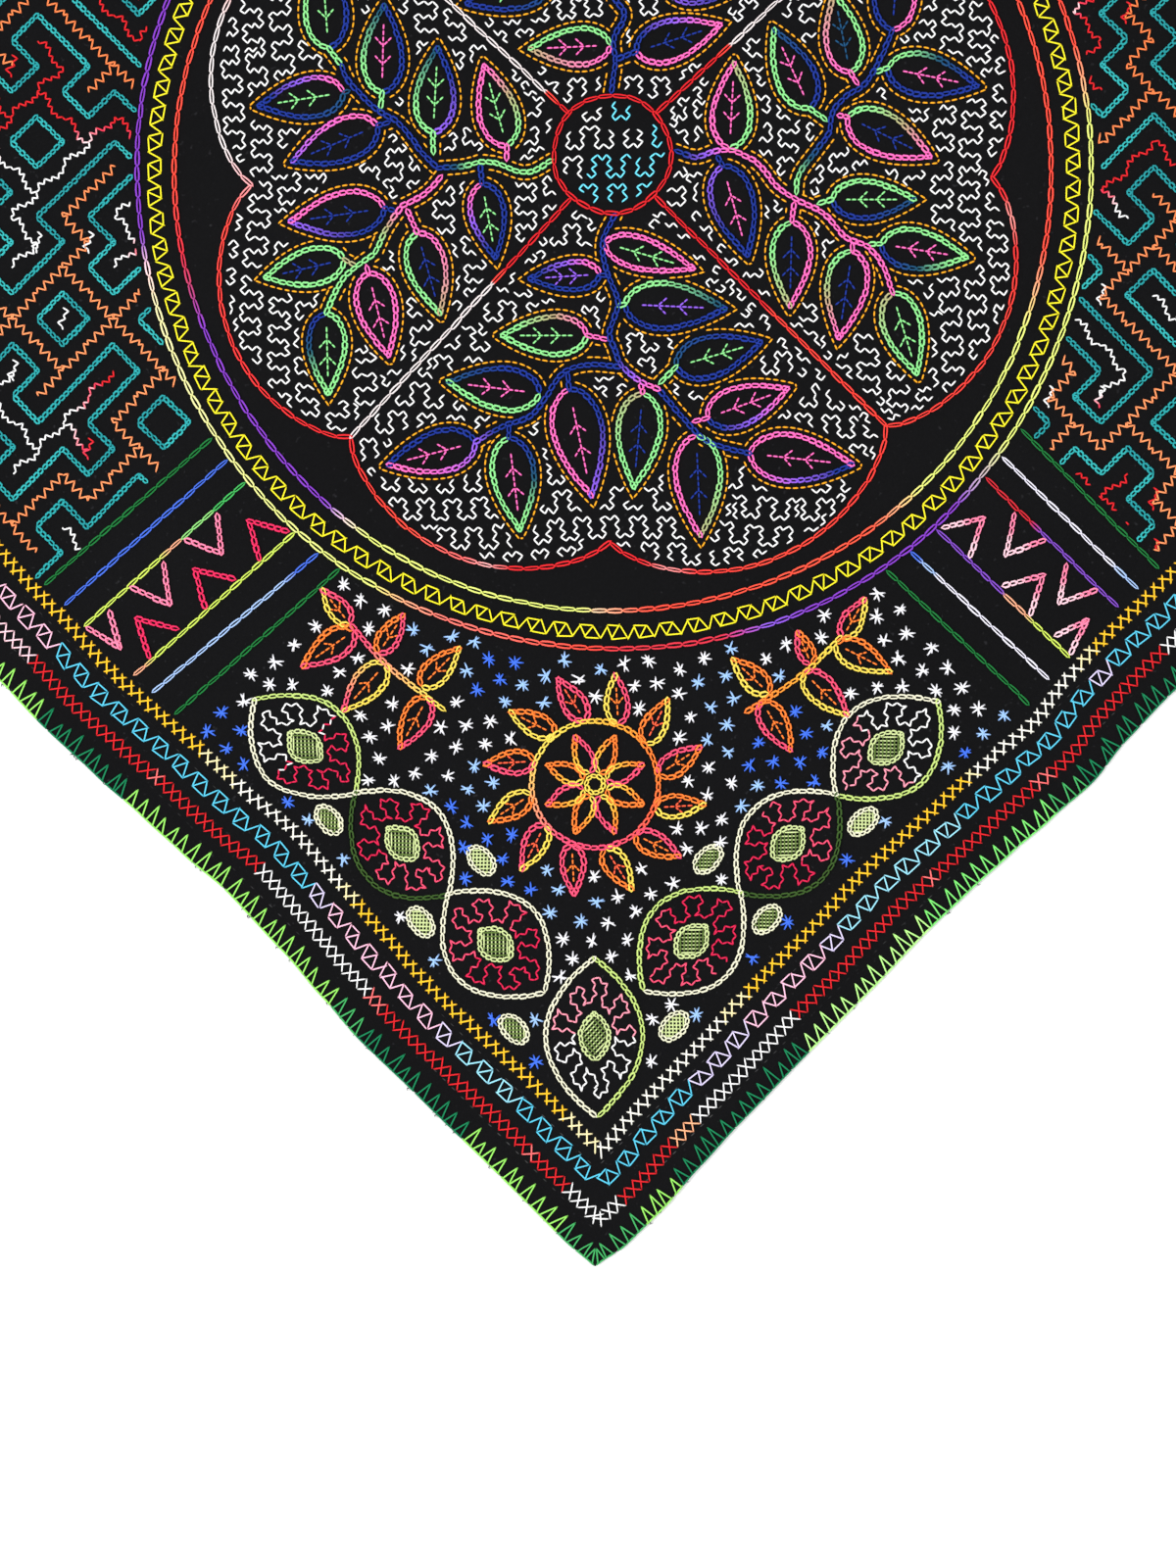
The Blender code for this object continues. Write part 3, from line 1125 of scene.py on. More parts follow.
@dataclass
class Border:
    """Four rows of stitches that follow every edge, from the bound rim inwards."""

    tent_depth: float = 8.1 * MM
    cross_pitch: float = 4.95 * MM
    cross_height: float = 6.1 * MM
    cross_gap: float = 0.1 * MM
    box_pitch: float = 12.0 * MM
    box_height: float = 6.2 * MM
    herring_pitch: float = 5.1 * MM
    herring_height: float = 5.5 * MM
    box_stops: tuple[float, float, float] = (0.19, 0.485, 0.75)
    box_stray: float = 0.22 * MM
    box_lift: float = 0.3 * MM
    strand_width: float = 0.88
    tent_width: float = 0.86
    rim_inset: float = 0.1 * MM
    corner: float = 5.0 * MM
    strays: tuple[float, float] = (0.20 * MM, 0.24 * MM)
    waves: tuple[tuple[float, float], ...] = ((0.45 * MM, 31.0 * MM), (0.3 * MM, 11.3 * MM))
    insets: dict[Edge, tuple[float, float, float]] = field(
        default_factory=lambda: {
            Edge.NEAR_LEFT: (0.0170, 0.0286, 0.0396),
            Edge.NEAR_RIGHT: (0.0159, 0.0276, 0.0382),
            Edge.FAR_LEFT: (0.0165, 0.0281, 0.0389),
            Edge.FAR_RIGHT: (0.0163, 0.0280, 0.0391),
        }
    )

    def wobble(self, edge: Edge, along: float) -> float:
        """How a row strays from a straight line by the hand that sewed it."""
        shift = list(Edge).index(edge) * 1.7
        return sum(tall * math.sin(along / length + shift) for tall, length in self.waves)

    def point(self, edge: Edge, along: float, inset: float) -> tuple[float, float]:
        """A place on a row, with the row's own wobble and a little of its own."""
        along += RNG.normal(0.0, self.strays[0])
        return edge.place(along, inset + self.wobble(edge, along) + RNG.normal(0.0, self.strays[1]))

    def repeats(
        self, row: int, wanted: float, margin: float = 0.0
    ) -> Iterator[tuple[Edge, float, float, float]]:
        """Walks a row round all four edges.

        Args:
            row: which of the insets the row has.
            wanted: the length of one repeat, eased so that a whole number fits.
            margin: how much further in from the corners the row starts.

        Yields:
            The edge, the row's inset, where a repeat starts and how long it is.
        """
        for edge in Edge:
            inset = self.insets[edge][row]
            length = SIDE - 2.0 * (inset + margin)
            count = round(length / wanted)
            for step in range(count):
                yield edge, inset, inset + margin + step * length / count, length / count

    def build(self) -> None:
        """Works the four rows."""
        self.bound_rim()
        self.loose_ends()
        self.crosses()
        self.boxes()
        self.herringbone()

    def bound_rim(self) -> None:
        """Tents of thread over the folded edge, and the thread that runs along the rim."""
        palette = Palette({
            "mid": rgb(60, 165, 90), "lime": LIME, "fresh": rgb(118, 220, 108),
            "pale": rgb(178, 242, 135), "deep": DEEP_GREEN,
        })
        work = Needlework("edge_tents")
        runs = {
            Edge.NEAR_LEFT: repeated(
                ("lime", "deep"), 0.085,
                ((0.022, "mid"), (0.084, "lime"), (0.150, "deep"), (0.166, "mid"), (0.300, "lime"),
                 (0.350, "deep"))),
            Edge.NEAR_RIGHT: repeated(
                ("deep", "lime"), 0.095,
                ((0.030, "mid"), (0.055, "lime"), (0.136, "deep"), (0.215, "pale"), (0.290, "fresh"),
                 (0.312, "mid"), (0.400, "deep"))),
            Edge.FAR_LEFT: repeated(("deep", "lime", "mid"), 0.08),
            Edge.FAR_RIGHT: repeated(("lime", "deep", "mid"), 0.08),
        }
        for edge in Edge:
            count = round((SIDE - 2.0 * MM) / TENT_PITCH)
            for step in range(count):
                along = 1.0 * MM + (step + 0.5) * TENT_PITCH + RNG.normal(0.0, 0.45 * MM)
                dye = palette.pair(run_at(runs[edge], along))
                lean = RNG.normal(0.9, 0.7) * MM
                tip = edge.place(along + lean, self.tent_depth + RNG.normal(0, 0.8) * MM)
                if min(along, SIDE - along) < self.corner:
                    tip = edge.place(along + math.copysign(3.0 * MM, HALF - along), self.tent_depth * 0.8)
                for side in (-1.0, 1.0):
                    foot = edge.place(along + side * TENT_PITCH * 0.33, self.rim_inset)
                    work.work(TENT, foot, tip, dye, width=self.tent_width, lift=0.2 * MM * (side > 0))
                start = edge.place(along - TENT_PITCH / 2, self.rim_inset)
                end = edge.place(along + TENT_PITCH / 2, self.rim_inset)
                work.work(RIM_ROLL, start, end, dye, lift=-0.6 * MM)
        dress(work, palette.dyes)

    def loose_ends(self) -> None:
        """Bits of the cotton's own black threads that stand out past the rim."""
        work = Needlework("loose_black_ends")
        for edge in Edge:
            for _ in range(46 if edge is Edge.NEAR_LEFT else 16):
                along = RNG.uniform(0.02 * SIDE, 0.98 * SIDE)
                start = edge.place(along, RNG.uniform(0.3, 0.8) * MM)
                end = edge.place(along + RNG.normal(0.0, 1.3) * MM, -RNG.uniform(0.4, 1.9) * MM)
                work.work(WISP, start, end, (0.5, 0.5), width=RNG.uniform(0.8, 1.3))
        dress(work, ((0.0, rgb(14, 14, 16)), (1.0, rgb(14, 14, 16))))

    def crosses(self) -> None:
        """The row of plain crosses nearest the rim."""
        palette = Palette({
            "white": WHITE, "pale": PALE_PINK, "peach": PEACH, "pink": rgb(250, 110, 110), "red": RED})
        work = Needlework("red_crosses")
        runs = {
            Edge.NEAR_LEFT: repeated(
                ("red", "white", "pink", "red"), 0.10,
                ((0.032, "white"), (0.056, "red"), (0.061, "pink"), (0.150, "red"), (0.157, "pink"),
                 (0.230, "white"), (0.292, "red"), (0.297, "pink"), (0.372, "red"), (0.42, "pale"))),
            Edge.NEAR_RIGHT: repeated(
                ("red", "pink", "white"), 0.11,
                ((0.030, "white"), (0.064, "red"), (0.080, "peach"), (0.142, "white"), (0.226, "red"),
                 (0.232, "pink"), (0.291, "red"), (0.300, "pink"), (0.375, "red"), (0.42, "white"))),
            Edge.FAR_LEFT: repeated(("red", "pink", "white"), 0.11),
            Edge.FAR_RIGHT: repeated(("red", "white", "pale"), 0.11),
        }
        half = self.cross_height / 2
        for edge, inset, along, pitch in self.repeats(0, self.cross_pitch):
            near = along + self.cross_gap
            far = along + pitch - self.cross_gap
            dye = palette.pair(run_at(runs[edge], near))
            for shape, side in ((STRAND, half), (OVER, -half)):
                start, end = self.point(edge, near, inset - side), self.point(edge, far, inset + side)
                work.work(shape, start, end, dye, width=self.strand_width)
        dress(work, palette.dyes)

    def boxes(self) -> None:
        """The zigzag whose every other bay is closed as a box with a stroke across it."""
        palette = Palette({
            "sky": SKY, "ice": rgb(150, 218, 238), "lavender": rgb(215, 205, 240),
            "pink": rgb(250, 190, 215)})
        work = Needlework("boxed_triangles")
        runs = {
            Edge.NEAR_LEFT: repeated(
                ("pink", "sky", "lavender", "sky"), 0.06,
                ((0.076, "sky"), (0.110, "ice"), (0.125, "lavender"), (0.198, "pink"), (0.203, "lavender"),
                 (0.358, "sky"))),
            Edge.NEAR_RIGHT: repeated(
                ("sky", "lavender", "sky", "pink"), 0.07,
                ((0.090, "sky"), (0.115, "lavender"), (0.172, "pink"), (0.182, "lavender"), (0.248, "ice"),
                 (0.341, "sky"), (0.352, "lavender"), (0.45, "sky"))),
            Edge.FAR_LEFT: repeated(("sky", "pink"), 0.09),
            Edge.FAR_RIGHT: repeated(("pink", "sky", "lavender"), 0.09),
        }
        for edge, inset, along, pitch in self.repeats(1, self.box_pitch, 2.0 * MM):
            dye = palette.pair(run_at(runs[edge], along))
            if edge in (Edge.NEAR_LEFT, Edge.FAR_LEFT):
                along, pitch = along + pitch, -pitch
            self.box(work, lambda s, t: self.point(edge, s, inset + t), along, pitch, dye, width=0.86)
        dress(work, palette.dyes)

    def box(
        self,
        work: Needlework,
        place: Plan,
        along: float,
        pitch: float,
        dye: tuple[float, float],
        tall: float = 1.0,
        width: float = 1.0,
    ) -> None:
        """One repeat of the boxed zigzag.

        Args:
            work: the thread it is sewn with.
            place: gives the place on the row for a distance along and out from its middle.
            along: where the repeat starts.
            pitch: its length, less than nothing where it is worked the other way.
            dye: the thread's colour there.
            tall: its height against the border's.
            width: how thick the thread is against its shape.
        """
        half = self.box_height * tall / 2
        stops = [along + pitch * share for share in (0.0, *self.box_stops, 1.0)]
        inner_a, outer_d = place(stops[0], half), place(stops[1], -half)
        inner_b, outer_c = place(stops[2], half), place(stops[3], -half)
        next_a = place(stops[4], half)
        for start, end in (
            (inner_a, outer_d), (outer_d, inner_b), (inner_b, outer_c),
            (outer_c, next_a), (inner_a, inner_b), (outer_d, outer_c),
        ):
            ends = [tuple(np.array(spot) + RNG.normal(0.0, self.box_stray, 2)) for spot in (start, end)]
            work.work(STRAND, *ends, dye, width=width, lift=RNG.uniform(0.0, self.box_lift))

    def herringbone(self) -> None:
        """The innermost row, whose strands cross near both of its sides."""
        palette = Palette({
            "white": rgb(242, 240, 228), "cream": rgb(245, 230, 175), "gold": rgb(250, 192, 35)})
        work = Needlework("yellow_herringbone")
        runs = {
            Edge.NEAR_LEFT: repeated(
                ("gold",), 0.1,
                ((0.055, "cream"), (0.190, "gold"), (0.200, "cream"), (0.268, "white"),
                 (0.285, "cream"))),
            Edge.NEAR_RIGHT: repeated(
                ("gold",), 0.1,
                ((0.118, "white"), (0.132, "cream"), (0.272, "gold"), (0.278, "cream"), (0.343, "white"),
                 (0.352, "cream"))),
            Edge.FAR_LEFT: repeated(("gold", "cream", "gold"), 0.14),
            Edge.FAR_RIGHT: repeated(("gold", "white", "cream", "gold"), 0.13),
        }
        half = self.herring_height / 2
        for edge, inset, along, pitch in self.repeats(2, self.herring_pitch):
            dye = palette.pair(run_at(runs[edge], along))
            for shape, first, last, side in ((STRAND, -0.16, 0.88, half), (OVER, 0.37, 1.22, -half)):
                start = self.point(edge, along + pitch * first, inset - side)
                end = self.point(edge, along + pitch * last, inset + side)
                work.work(shape, start, end, dye)
        dress(work, palette.dyes)


def arc(middle: np.ndarray, radius: float, first: float, last: float, wave: float = 0.0) -> np.ndarray:
    """Points round a part of a circle in the view's axes, given on the cloth's.

    Args:
        middle: the circle's middle, in the view's axes.
        radius: its radius.
        first: the angle it starts at, in degrees from the right, anticlockwise.
        last: the angle it ends at.
        wave: how far the hand that drew it strayed.

    Returns:
        Rows of (x, y).
    """
    angles = np.radians(np.linspace(first, last, max(8, int(abs(last - first) * 1.5))))
    reach = radius + wave * np.sin(angles * 5.0 + radius * 90.0)
    points = middle + np.column_stack([np.cos(angles), np.sin(angles)]) * reach[:, None]
    return from_diagonal(points)


def by_angle(colors: Dyes) -> Dyes:
    """Dyes placed by the angle in degrees, as places on a thread that runs once round."""
    return tuple((angle / 360.0, color) for angle, color in colors)


@dataclass
class Rings:
    """The rings round the medallion, its scalloped line, middle circle and spokes."""

    middle: np.ndarray = field(default_factory=lambda: np.array([8.4, -2.6]) * MM)
    outer: float = 214 * MM
    inner: float = 196.8 * MM
    band: float = 206.2 * MM
    cusps: tuple[tuple[float, float, float], ...] = (
        (-0.7, 169.5, 17.5), (45.0, 167.0, 21.0), (90.0, 167.0, 21.0), (135.0, 167.0, 24.5),
        (181.9, 162.5, 22.5), (225.1, 167.3, 19.5), (269.4, 165.6, 21.5), (317.1, 166.6, 19.7),
    )
    hub: float = 26.5 * MM
    hub_middle: tuple[float, float] = (-0.7 * MM, 8.4 * MM)
    link: float = 7.1 * MM
    fine_link: float = 6.9 * MM
    lobe_curve: float = 0.72
    band_pitch: float = 12.1 * MM
    band_stray: float = 0.14 * MM

    def build(self) -> None:
        """Works the rings from the outside in."""
        self.ring("outer_ring", self.outer, (
            (0, PALE_LIME), (6, PALE_LIME), (10, PEACH), (15, CORAL), (55, CORAL), (90, PURPLE),
            (188, PURPLE), (191, PALE_PINK), (196, rgb(238, 232, 170)), (239, PALE_LIME), (243, PEACH),
            (248, rgb(250, 120, 110)), (266.5, CORAL), (269.5, rgb(222, 50, 62)), (283, rgb(210, 42, 66)),
            (288, VIOLET), (294, PURPLE), (316, PURPLE), (320, rgb(190, 165, 185)), (325, PALE_LIME),
            (360, PALE_LIME),
        ))
        self.ring("inner_ring", self.inner, (
            (0, CORAL), (60, rgb(250, 80, 55)), (90, CORAL), (150, rgb(250, 80, 62)),
            (180, CORAL), (190, rgb(225, 40, 60)), (195, rgb(180, 60, 110)), (200, PURPLE), (229, PURPLE),
            (231.5, rgb(240, 205, 215)), (235, PALE_LIME), (265.6, PALE_LIME), (267, rgb(250, 205, 165)),
            (269.5, rgb(252, 160, 125)), (273.5, CORAL), (306, rgb(248, 85, 60)), (310, PEACH),
            (314, PALE_LIME), (339, PALE_LIME), (344, PEACH), (349, CORAL), (360, CORAL),
        ))
        self.zigzag()
        self.scallop()
        self.spokes()

    def ring(self, name: str, radius: float, colors: Dyes) -> None:
        """One chain round the medallion, its colours given by the angle in the view."""
        work = Needlework(name)
        path = arc(self.middle, radius, 0.0, 360.0, 0.5 * MM)
        work.chain(RING_LINK, path, self.link, (0.0, 1.0))
        dress(work, by_angle(colors))

    def zigzag(self) -> None:
        """The yellow boxed zigzag between the two chains."""
        palette = Palette({"yellow": YELLOW})
        work = Needlework("yellow_band")
        count = round(2.0 * math.pi * self.band / self.band_pitch)
        border = Border()

        def place(along: float, out: float) -> tuple[float, float]:
            """A place on the band, for an angle in turns and a distance inwards."""
            angle = 2.0 * math.pi * along
            reach = self.band - out + RNG.normal(0.0, self.band_stray)
            spot = self.middle + reach * np.array([math.cos(angle), math.sin(angle)])
            return tuple(from_diagonal(spot))

        for step in range(count):
            border.box(work, place, step / count, 1.0 / count, palette.pair("yellow"), 0.92, 0.88)
        dress(work, palette.dyes)

    @property
    def widest(self) -> float:
        """The furthest that a lobe can stand from the middle."""
        return max(reach + lobe for _, reach, lobe in self.cusps) * MM

    def cusp(self, number: int) -> np.ndarray:
        """The place of one of the scalloped line's cusps about the rings' middle."""
        angle, reach, _ = self.cusps[number]
        return reach * MM * np.array([math.cos(math.radians(angle)), math.sin(math.radians(angle))])

    def spoke_ends(self) -> list[tuple[np.ndarray, np.ndarray]]:
        """Where the four spokes leave the middle circle and where they reach their cusps."""
        hub = np.array(self.hub_middle)
        ends = [self.cusp(number) for number in (1, 3, 5, 7)]
        return [(hub + (end - hub) / math.dist(end, hub) * self.hub, end) for end in ends]

    def scallop_reach(self, angle: float) -> float:
        """How far the scalloped line stands from the middle at an angle in radians."""
        first = self.cusps[0][0]
        degrees = (math.degrees(angle) - first) % 360.0 + first
        number = max(step for step, row in enumerate(self.cusps) if row[0] <= degrees)
        start, reach, lobe = self.cusps[number]
        stop, next_reach, _ = (*self.cusps, (first + 360.0, self.cusps[0][1], 0.0))[number + 1]
        share = (degrees - start) / (stop - start)
        bay = max(math.sin(math.pi * share), 0.0)
        return (reach + (next_reach - reach) * share + lobe * bay**self.lobe_curve) * MM

    def scallop(self) -> None:
        """The scalloped line of eight lobes, red with paler stretches."""
        work = Needlework("scalloped_line")
        stops = [row[0] for row in self.cusps]
        for start, stop in zip(stops, [*stops[1:], stops[0] + 360.0]):
            angles = np.radians(np.linspace(start, stop - 0.001, 90))
            reach = np.array([self.scallop_reach(angle) for angle in angles])
            points = self.middle + np.column_stack([np.cos(angles), np.sin(angles)]) * reach[:, None]
            dye = (start / 360.0, stop / 360.0)
            work.chain(RING_LINK, from_diagonal(points), self.fine_link, dye, width=0.92)
        red, pale = rgb(222, 30, 38), rgb(228, 220, 220)
        dress(work, by_angle((
            (0, red), (40, red), (60, CORAL), (92, pale), (128, pale), (150, rgb(250, 120, 110)),
            (158, pale), (176, pale), (181, rgb(250, 160, 165)), (186, rgb(245, 70, 60)),
            (205, rgb(240, 50, 50)), (225, red),
            (240, CORAL), (249, rgb(245, 110, 110)), (251.5, rgb(250, 180, 180)), (254, red), (275, red),
            (277.5, rgb(250, 160, 160)), (281, rgb(240, 50, 50)), (292, CORAL), (306, rgb(240, 55, 48)),
            (340, rgb(235, 60, 50)), (349, rgb(225, 40, 40)), (353, rgb(240, 150, 145)), (355.5, red),
            (360, red),
        )))

    def spokes(self) -> None:
        """The middle circle and the four lines from it to the diagonal cusps."""
        palette = Palette({"red": RED, "coral": rgb(248, 60, 50), "pale": rgb(228, 218, 218)})
        work = Needlework("circle_and_spokes")
        circle = arc(self.middle + self.hub_middle, self.hub, 45.0, 405.0, 0.3 * MM)
        work.chain(RING_LINK, circle, 6.6 * MM, palette.pair("red"), width=0.95)
        tails = ((0.27, "pale"), (0.04, "pale"), (0.29, "pale"), (0.45, "coral"))
        for (start, end), (turn, tail) in zip(self.spoke_ends(), tails):
            stops = [start + (end - start) * share for share in (0.0, turn, turn + 0.07, 1.0)]
            spots = from_diagonal(self.middle + np.array(stops))
            for step, name in enumerate(("red", f"red>{tail}", tail)):
                work.chain(RING_LINK, spots[step : step + 2], self.fine_link, palette.pair(name), width=0.9)
        dress(work, palette.dyes)


LEAF_FADES = (
    (0.00, PINK), (0.09, PINK), (0.20, VIOLET), (0.31, BLUE), (0.42, BLUE), (0.52, TEAL_BLUE),
    (0.63, PALE_GREEN), (0.75, PALE_GREEN), (0.86, TAN), (0.96, PINK), (1.00, PINK),
)
LEAF_PLACES = {"pink": 0.045, "violet": 0.20, "blue": 0.365, "teal": 0.50, "green": 0.69, "tan": 0.85}


def leaf_fade(name: str) -> tuple[float, float]:
    """Places on the leaves' shaded thread for a dye, or a fade written as one>other."""
    first, _, last = name.partition(">")
    last = last or first
    places = dict(LEAF_PLACES)
    if {first, last} & {"green", "tan"}:
        places["pink"] = 0.98
    return places[first], places[last]


@dataclass(frozen=True)
class Leaf:
    """A pointed leaf: two chained sides that may differ in colour, and stitched veins."""

    base: tuple[float, float]
    tip: tuple[float, float]
    left: str
    right: str
    vein: str
    fullness: float = 0.225

    @property
    def axes(self) -> tuple[np.ndarray, np.ndarray]:
        """The way from base to tip, and the way to the left of it."""
        heading = np.subtract(self.tip, self.base) / self.length
        return heading, np.array([-heading[1], heading[0]])

    def local(self, points: np.ndarray) -> tuple[np.ndarray, np.ndarray]:
        """How far along the leaf, in its lengths, and how far aside points stand."""
        heading, across = self.axes
        away = points - np.array(self.base)
        return away @ heading / self.length, away @ across

    @property
    def length(self) -> float:
        """From base to tip."""
        return math.dist(self.base, self.tip)

    def bulge(self, share: np.ndarray) -> np.ndarray:
        """Half the leaf's width at a share of its length."""
        share = np.clip(share, 0.0, 1.0)
        return self.length * self.fullness * 2.95 * share**0.6 * (1.0 - share) ** 1.05

    def side(self, sign: float, grown: float = 0.0, first: float = 0.0) -> np.ndarray:
        """Points along one side from the base to the tip.

        Args:
            sign: 1 for the left side and -1 for the right one.
            grown: how far outside the leaf's own line they run.
            first: the share of the length where they start.

        Returns:
            Rows of (right, up).
        """
        share = np.linspace(first, 1.0, 25) ** 1.25
        aside = self.bulge(share)
        along = share * self.length
        slope = np.gradient(aside, along)
        scale = np.hypot(1.0, slope)
        along = along - slope / scale * grown
        aside = aside + grown / scale
        if grown:
            along[-1], aside[-1] = self.length + grown * 1.7, 0.0
        heading, across = self.axes
        return np.array(self.base) + along[:, None] * heading + (sign * aside)[:, None] * across

    def half_turned(self) -> "Leaf":
        """The same leaf on the other side of the medallion's middle."""
        turn = tuple(-v for v in self.base), tuple(-v for v in self.tip)
        return Leaf(*turn, self.left, self.right, self.vein, self.fullness)


@dataclass(frozen=True)
class Veins:
    """The dashed midrib of a leaf and its pairs of side veins."""

    rib: tuple[float, float]
    rib_gap: float
    roots: tuple[float, ...]
    reach: tuple[float, float]

    def work(
        self, thread: Needlework, one: Leaf, dye: tuple[float, float],
        place: Callable[[np.ndarray], np.ndarray],
    ) -> None:
        """Sews a leaf's veins.

        Args:
            thread: the thread.
            one: the leaf.
            dye: the thread's dye there.
            place: moves the leaf's points onto the cloth.
        """
        heading, across = one.axes
        base = np.array(one.base)
        rib = base + np.outer(np.array(self.rib) * one.length, heading)
        thread.run(RUNNING, place(rib), 2.7 * MM, dye, self.rib_gap)
        for share in self.roots:
            root = base + heading * one.length * share
            for sign in (1.0, -1.0):
                start = root + across * sign * 0.5 * MM
                end = root + heading * self.reach[0] + across * sign * self.reach[1]
                thread.run(RUNNING, place(np.array([start, end])), 2.5 * MM, dye, 0.16)


def leaf(
    row: tuple[float, float, float, float], left: str, right: str, vein: str, fullness: float = 0.225
) -> Leaf:
    """A leaf from its base and its tip, given in millimetres."""
    return Leaf((row[0] * MM, row[1] * MM), (row[2] * MM, row[3] * MM), left, right, vein, fullness)


def curved(points: tuple[tuple[float, float], ...] | np.ndarray, steps: int = 6) -> np.ndarray:
    """A smooth line through a few points.

    Args:
        points: the points, in order.
        steps: how many places each stretch between two points gets.

    Returns:
        The line's places.
    """
    knots = np.asarray(points, float)
    knots = np.vstack([2 * knots[0] - knots[1], knots, 2 * knots[-1] - knots[-2]])
    share = np.linspace(0.0, 1.0, steps, endpoint=False)[:, None]
    rows = []
    for a, b, c, d in zip(knots, knots[1:], knots[2:], knots[3:]):
        rows.append(0.5 * (2 * b + (c - a) * share + (2 * a - 5 * b + 4 * c - d) * share**2
                           + (3 * b - a - 3 * c + d) * share**3))
    return np.vstack([*rows, knots[-2:-1]])


@dataclass(frozen=True)
class Sprig:
    """A stem with its side stems and leaves, placed about the medallion's middle."""

    leaves: tuple[Leaf, ...]
    stems: tuple[tuple[str, tuple[tuple[float, float], ...]], ...]

    def lines(self) -> list[tuple[str, np.ndarray]]:
        """Every stem as a smooth line, with its dye."""
        return [(dye, curved(np.array(row) * MM)) for dye, row in self.stems]

    def half_turned(self) -> "Sprig":
        """The sprig across the middle from this one."""
        stems = tuple((dye, tuple((-x, -y) for x, y in row)) for dye, row in self.stems)
        return Sprig(tuple(one.half_turned() for one in self.leaves), stems)


NEAR_SPRIG = Sprig(
    (
        leaf((-4, -31.5, 35.5, -43), "pink", "pink", "green", 0.17),
        leaf((-6, -45.5, -37.5, -47.5), "blue", "pink>blue", "violet", 0.2),
        leaf((5, -59, 50, -61), "green>teal", "blue", "violet"),
        leaf((-12, -73, -50, -73), "green", "pink>green", "green"),
        leaf((28, -87, 66, -76), "teal>blue", "blue", "green"),
        leaf((-33, -99, -74, -94), "green", "blue>teal", "pink"),
        leaf((42, -110, 78, -97), "pink", "blue>pink", "pink"),
        leaf((-62, -121, -101, -131), "violet>pink", "blue", "pink"),
        leaf((-47, -119, -42, -160), "blue>green", "green", "pink"),
        leaf((-20, -97, -10, -145), "blue>violet", "pink", "pink"),
        leaf((13, -99, 9, -141), "green", "tan>green", "blue"),
        leaf((37, -118, 39, -163), "green>tan", "pink", "blue"),
        leaf((61, -126, 107, -131), "pink", "pink>blue", "pink"),
    ),
    (
        ("blue", ((1, -18), (-5, -31), (-3, -45), (2, -58), (-2, -72), (0, -78))),
        ("blue>pink", ((0, -78), (3, -86), (11, -93), (20, -97))),
        ("blue", ((20, -97), (31, -110), (43, -121), (61, -126))),
        ("blue", ((4, -87), (-12, -86), (-23, -90), (-30, -100), (-37, -109), (-48, -113))),
        ("blue>violet", ((-48, -113), (-56, -117), (-62, -121))),
        ("green", ((20, -95), (28, -87))), ("pink", ((-2, -75), (-12, -73))),
        ("pink", ((12, -94), (13, -99))), ("blue", ((-21, -89), (-20, -97))),
        ("blue", ((-47, -113), (-47, -119))), ("pink", ((35, -112), (42, -110))),
        ("blue", ((-2, -46), (-6, -46))), ("green", ((1, -60), (5, -59))),
    ),
)
LEFT_SPRIG = Sprig(
    (
        leaf((-48, 12, -58, 48), "pink", "green>pink", "green"),
        leaf((-81, 18, -79, 56), "green>teal", "violet>blue", "green"),
        leaf((-104, 36, -103, 75), "green>teal", "blue", "pink"),
        leaf((-128, 56, -131, 97), "green", "blue", "green"),
        leaf((-121, 36, -159, 30), "teal>blue", "pink>blue", "green"),
        leaf((-106, 21, -144, 5), "blue", "pink>violet", "blue"),
        leaf((-103, -16, -145, -22), "blue>violet", "pink", "blue"),
        leaf((-121, -39, -156, -47), "green", "green", "blue"),
        leaf((-129, -63, -128, -99), "green", "blue>green", "green"),
        leaf((-110, -45, -101, -82), "pink", "pink", "pink"),
        leaf((-88, -27, -78, -63), "pink>tan", "green", "blue"),
        leaf((-59, -5, -53, -38), "blue", "pink>blue", "green"),
    ),
    (
        ("green", ((-27, 6), (-39, 0), (-52, 4), (-60, 5))),
        ("green>blue", ((-60, 5), (-67, 3), (-79, 2))),
        ("blue", ((-79, 2), (-86, 9), (-96, 22), (-106, 28), (-119, 41), (-122, 48))),
        ("green", ((-122, 48), (-128, 56))),
        ("pink", ((-77, -1), (-84, -9), (-95, -15))),
        ("pink>green", ((-95, -15), (-102, -25), (-107, -36))),
        ("green", ((-107, -36), (-120, -46), (-126, -56), (-129, -63))),
        ("green", ((-81, 8), (-81, 18))), ("pink", ((-48, 5), (-48, 12))),
        ("green", ((-105, 28), (-104, 36))), ("blue", ((-100, 23), (-106, 21))),
        ("blue", ((-98, -17), (-103, -16))), ("tan", ((-115, -42), (-121, -39))),
        ("pink", ((-111, -41), (-110, -45))), ("pink", ((-93, -16), (-88, -27))),
        ("blue", ((-60, 4), (-59, -5))), ("teal", ((-118, 37), (-121, 36))),
    ),
)
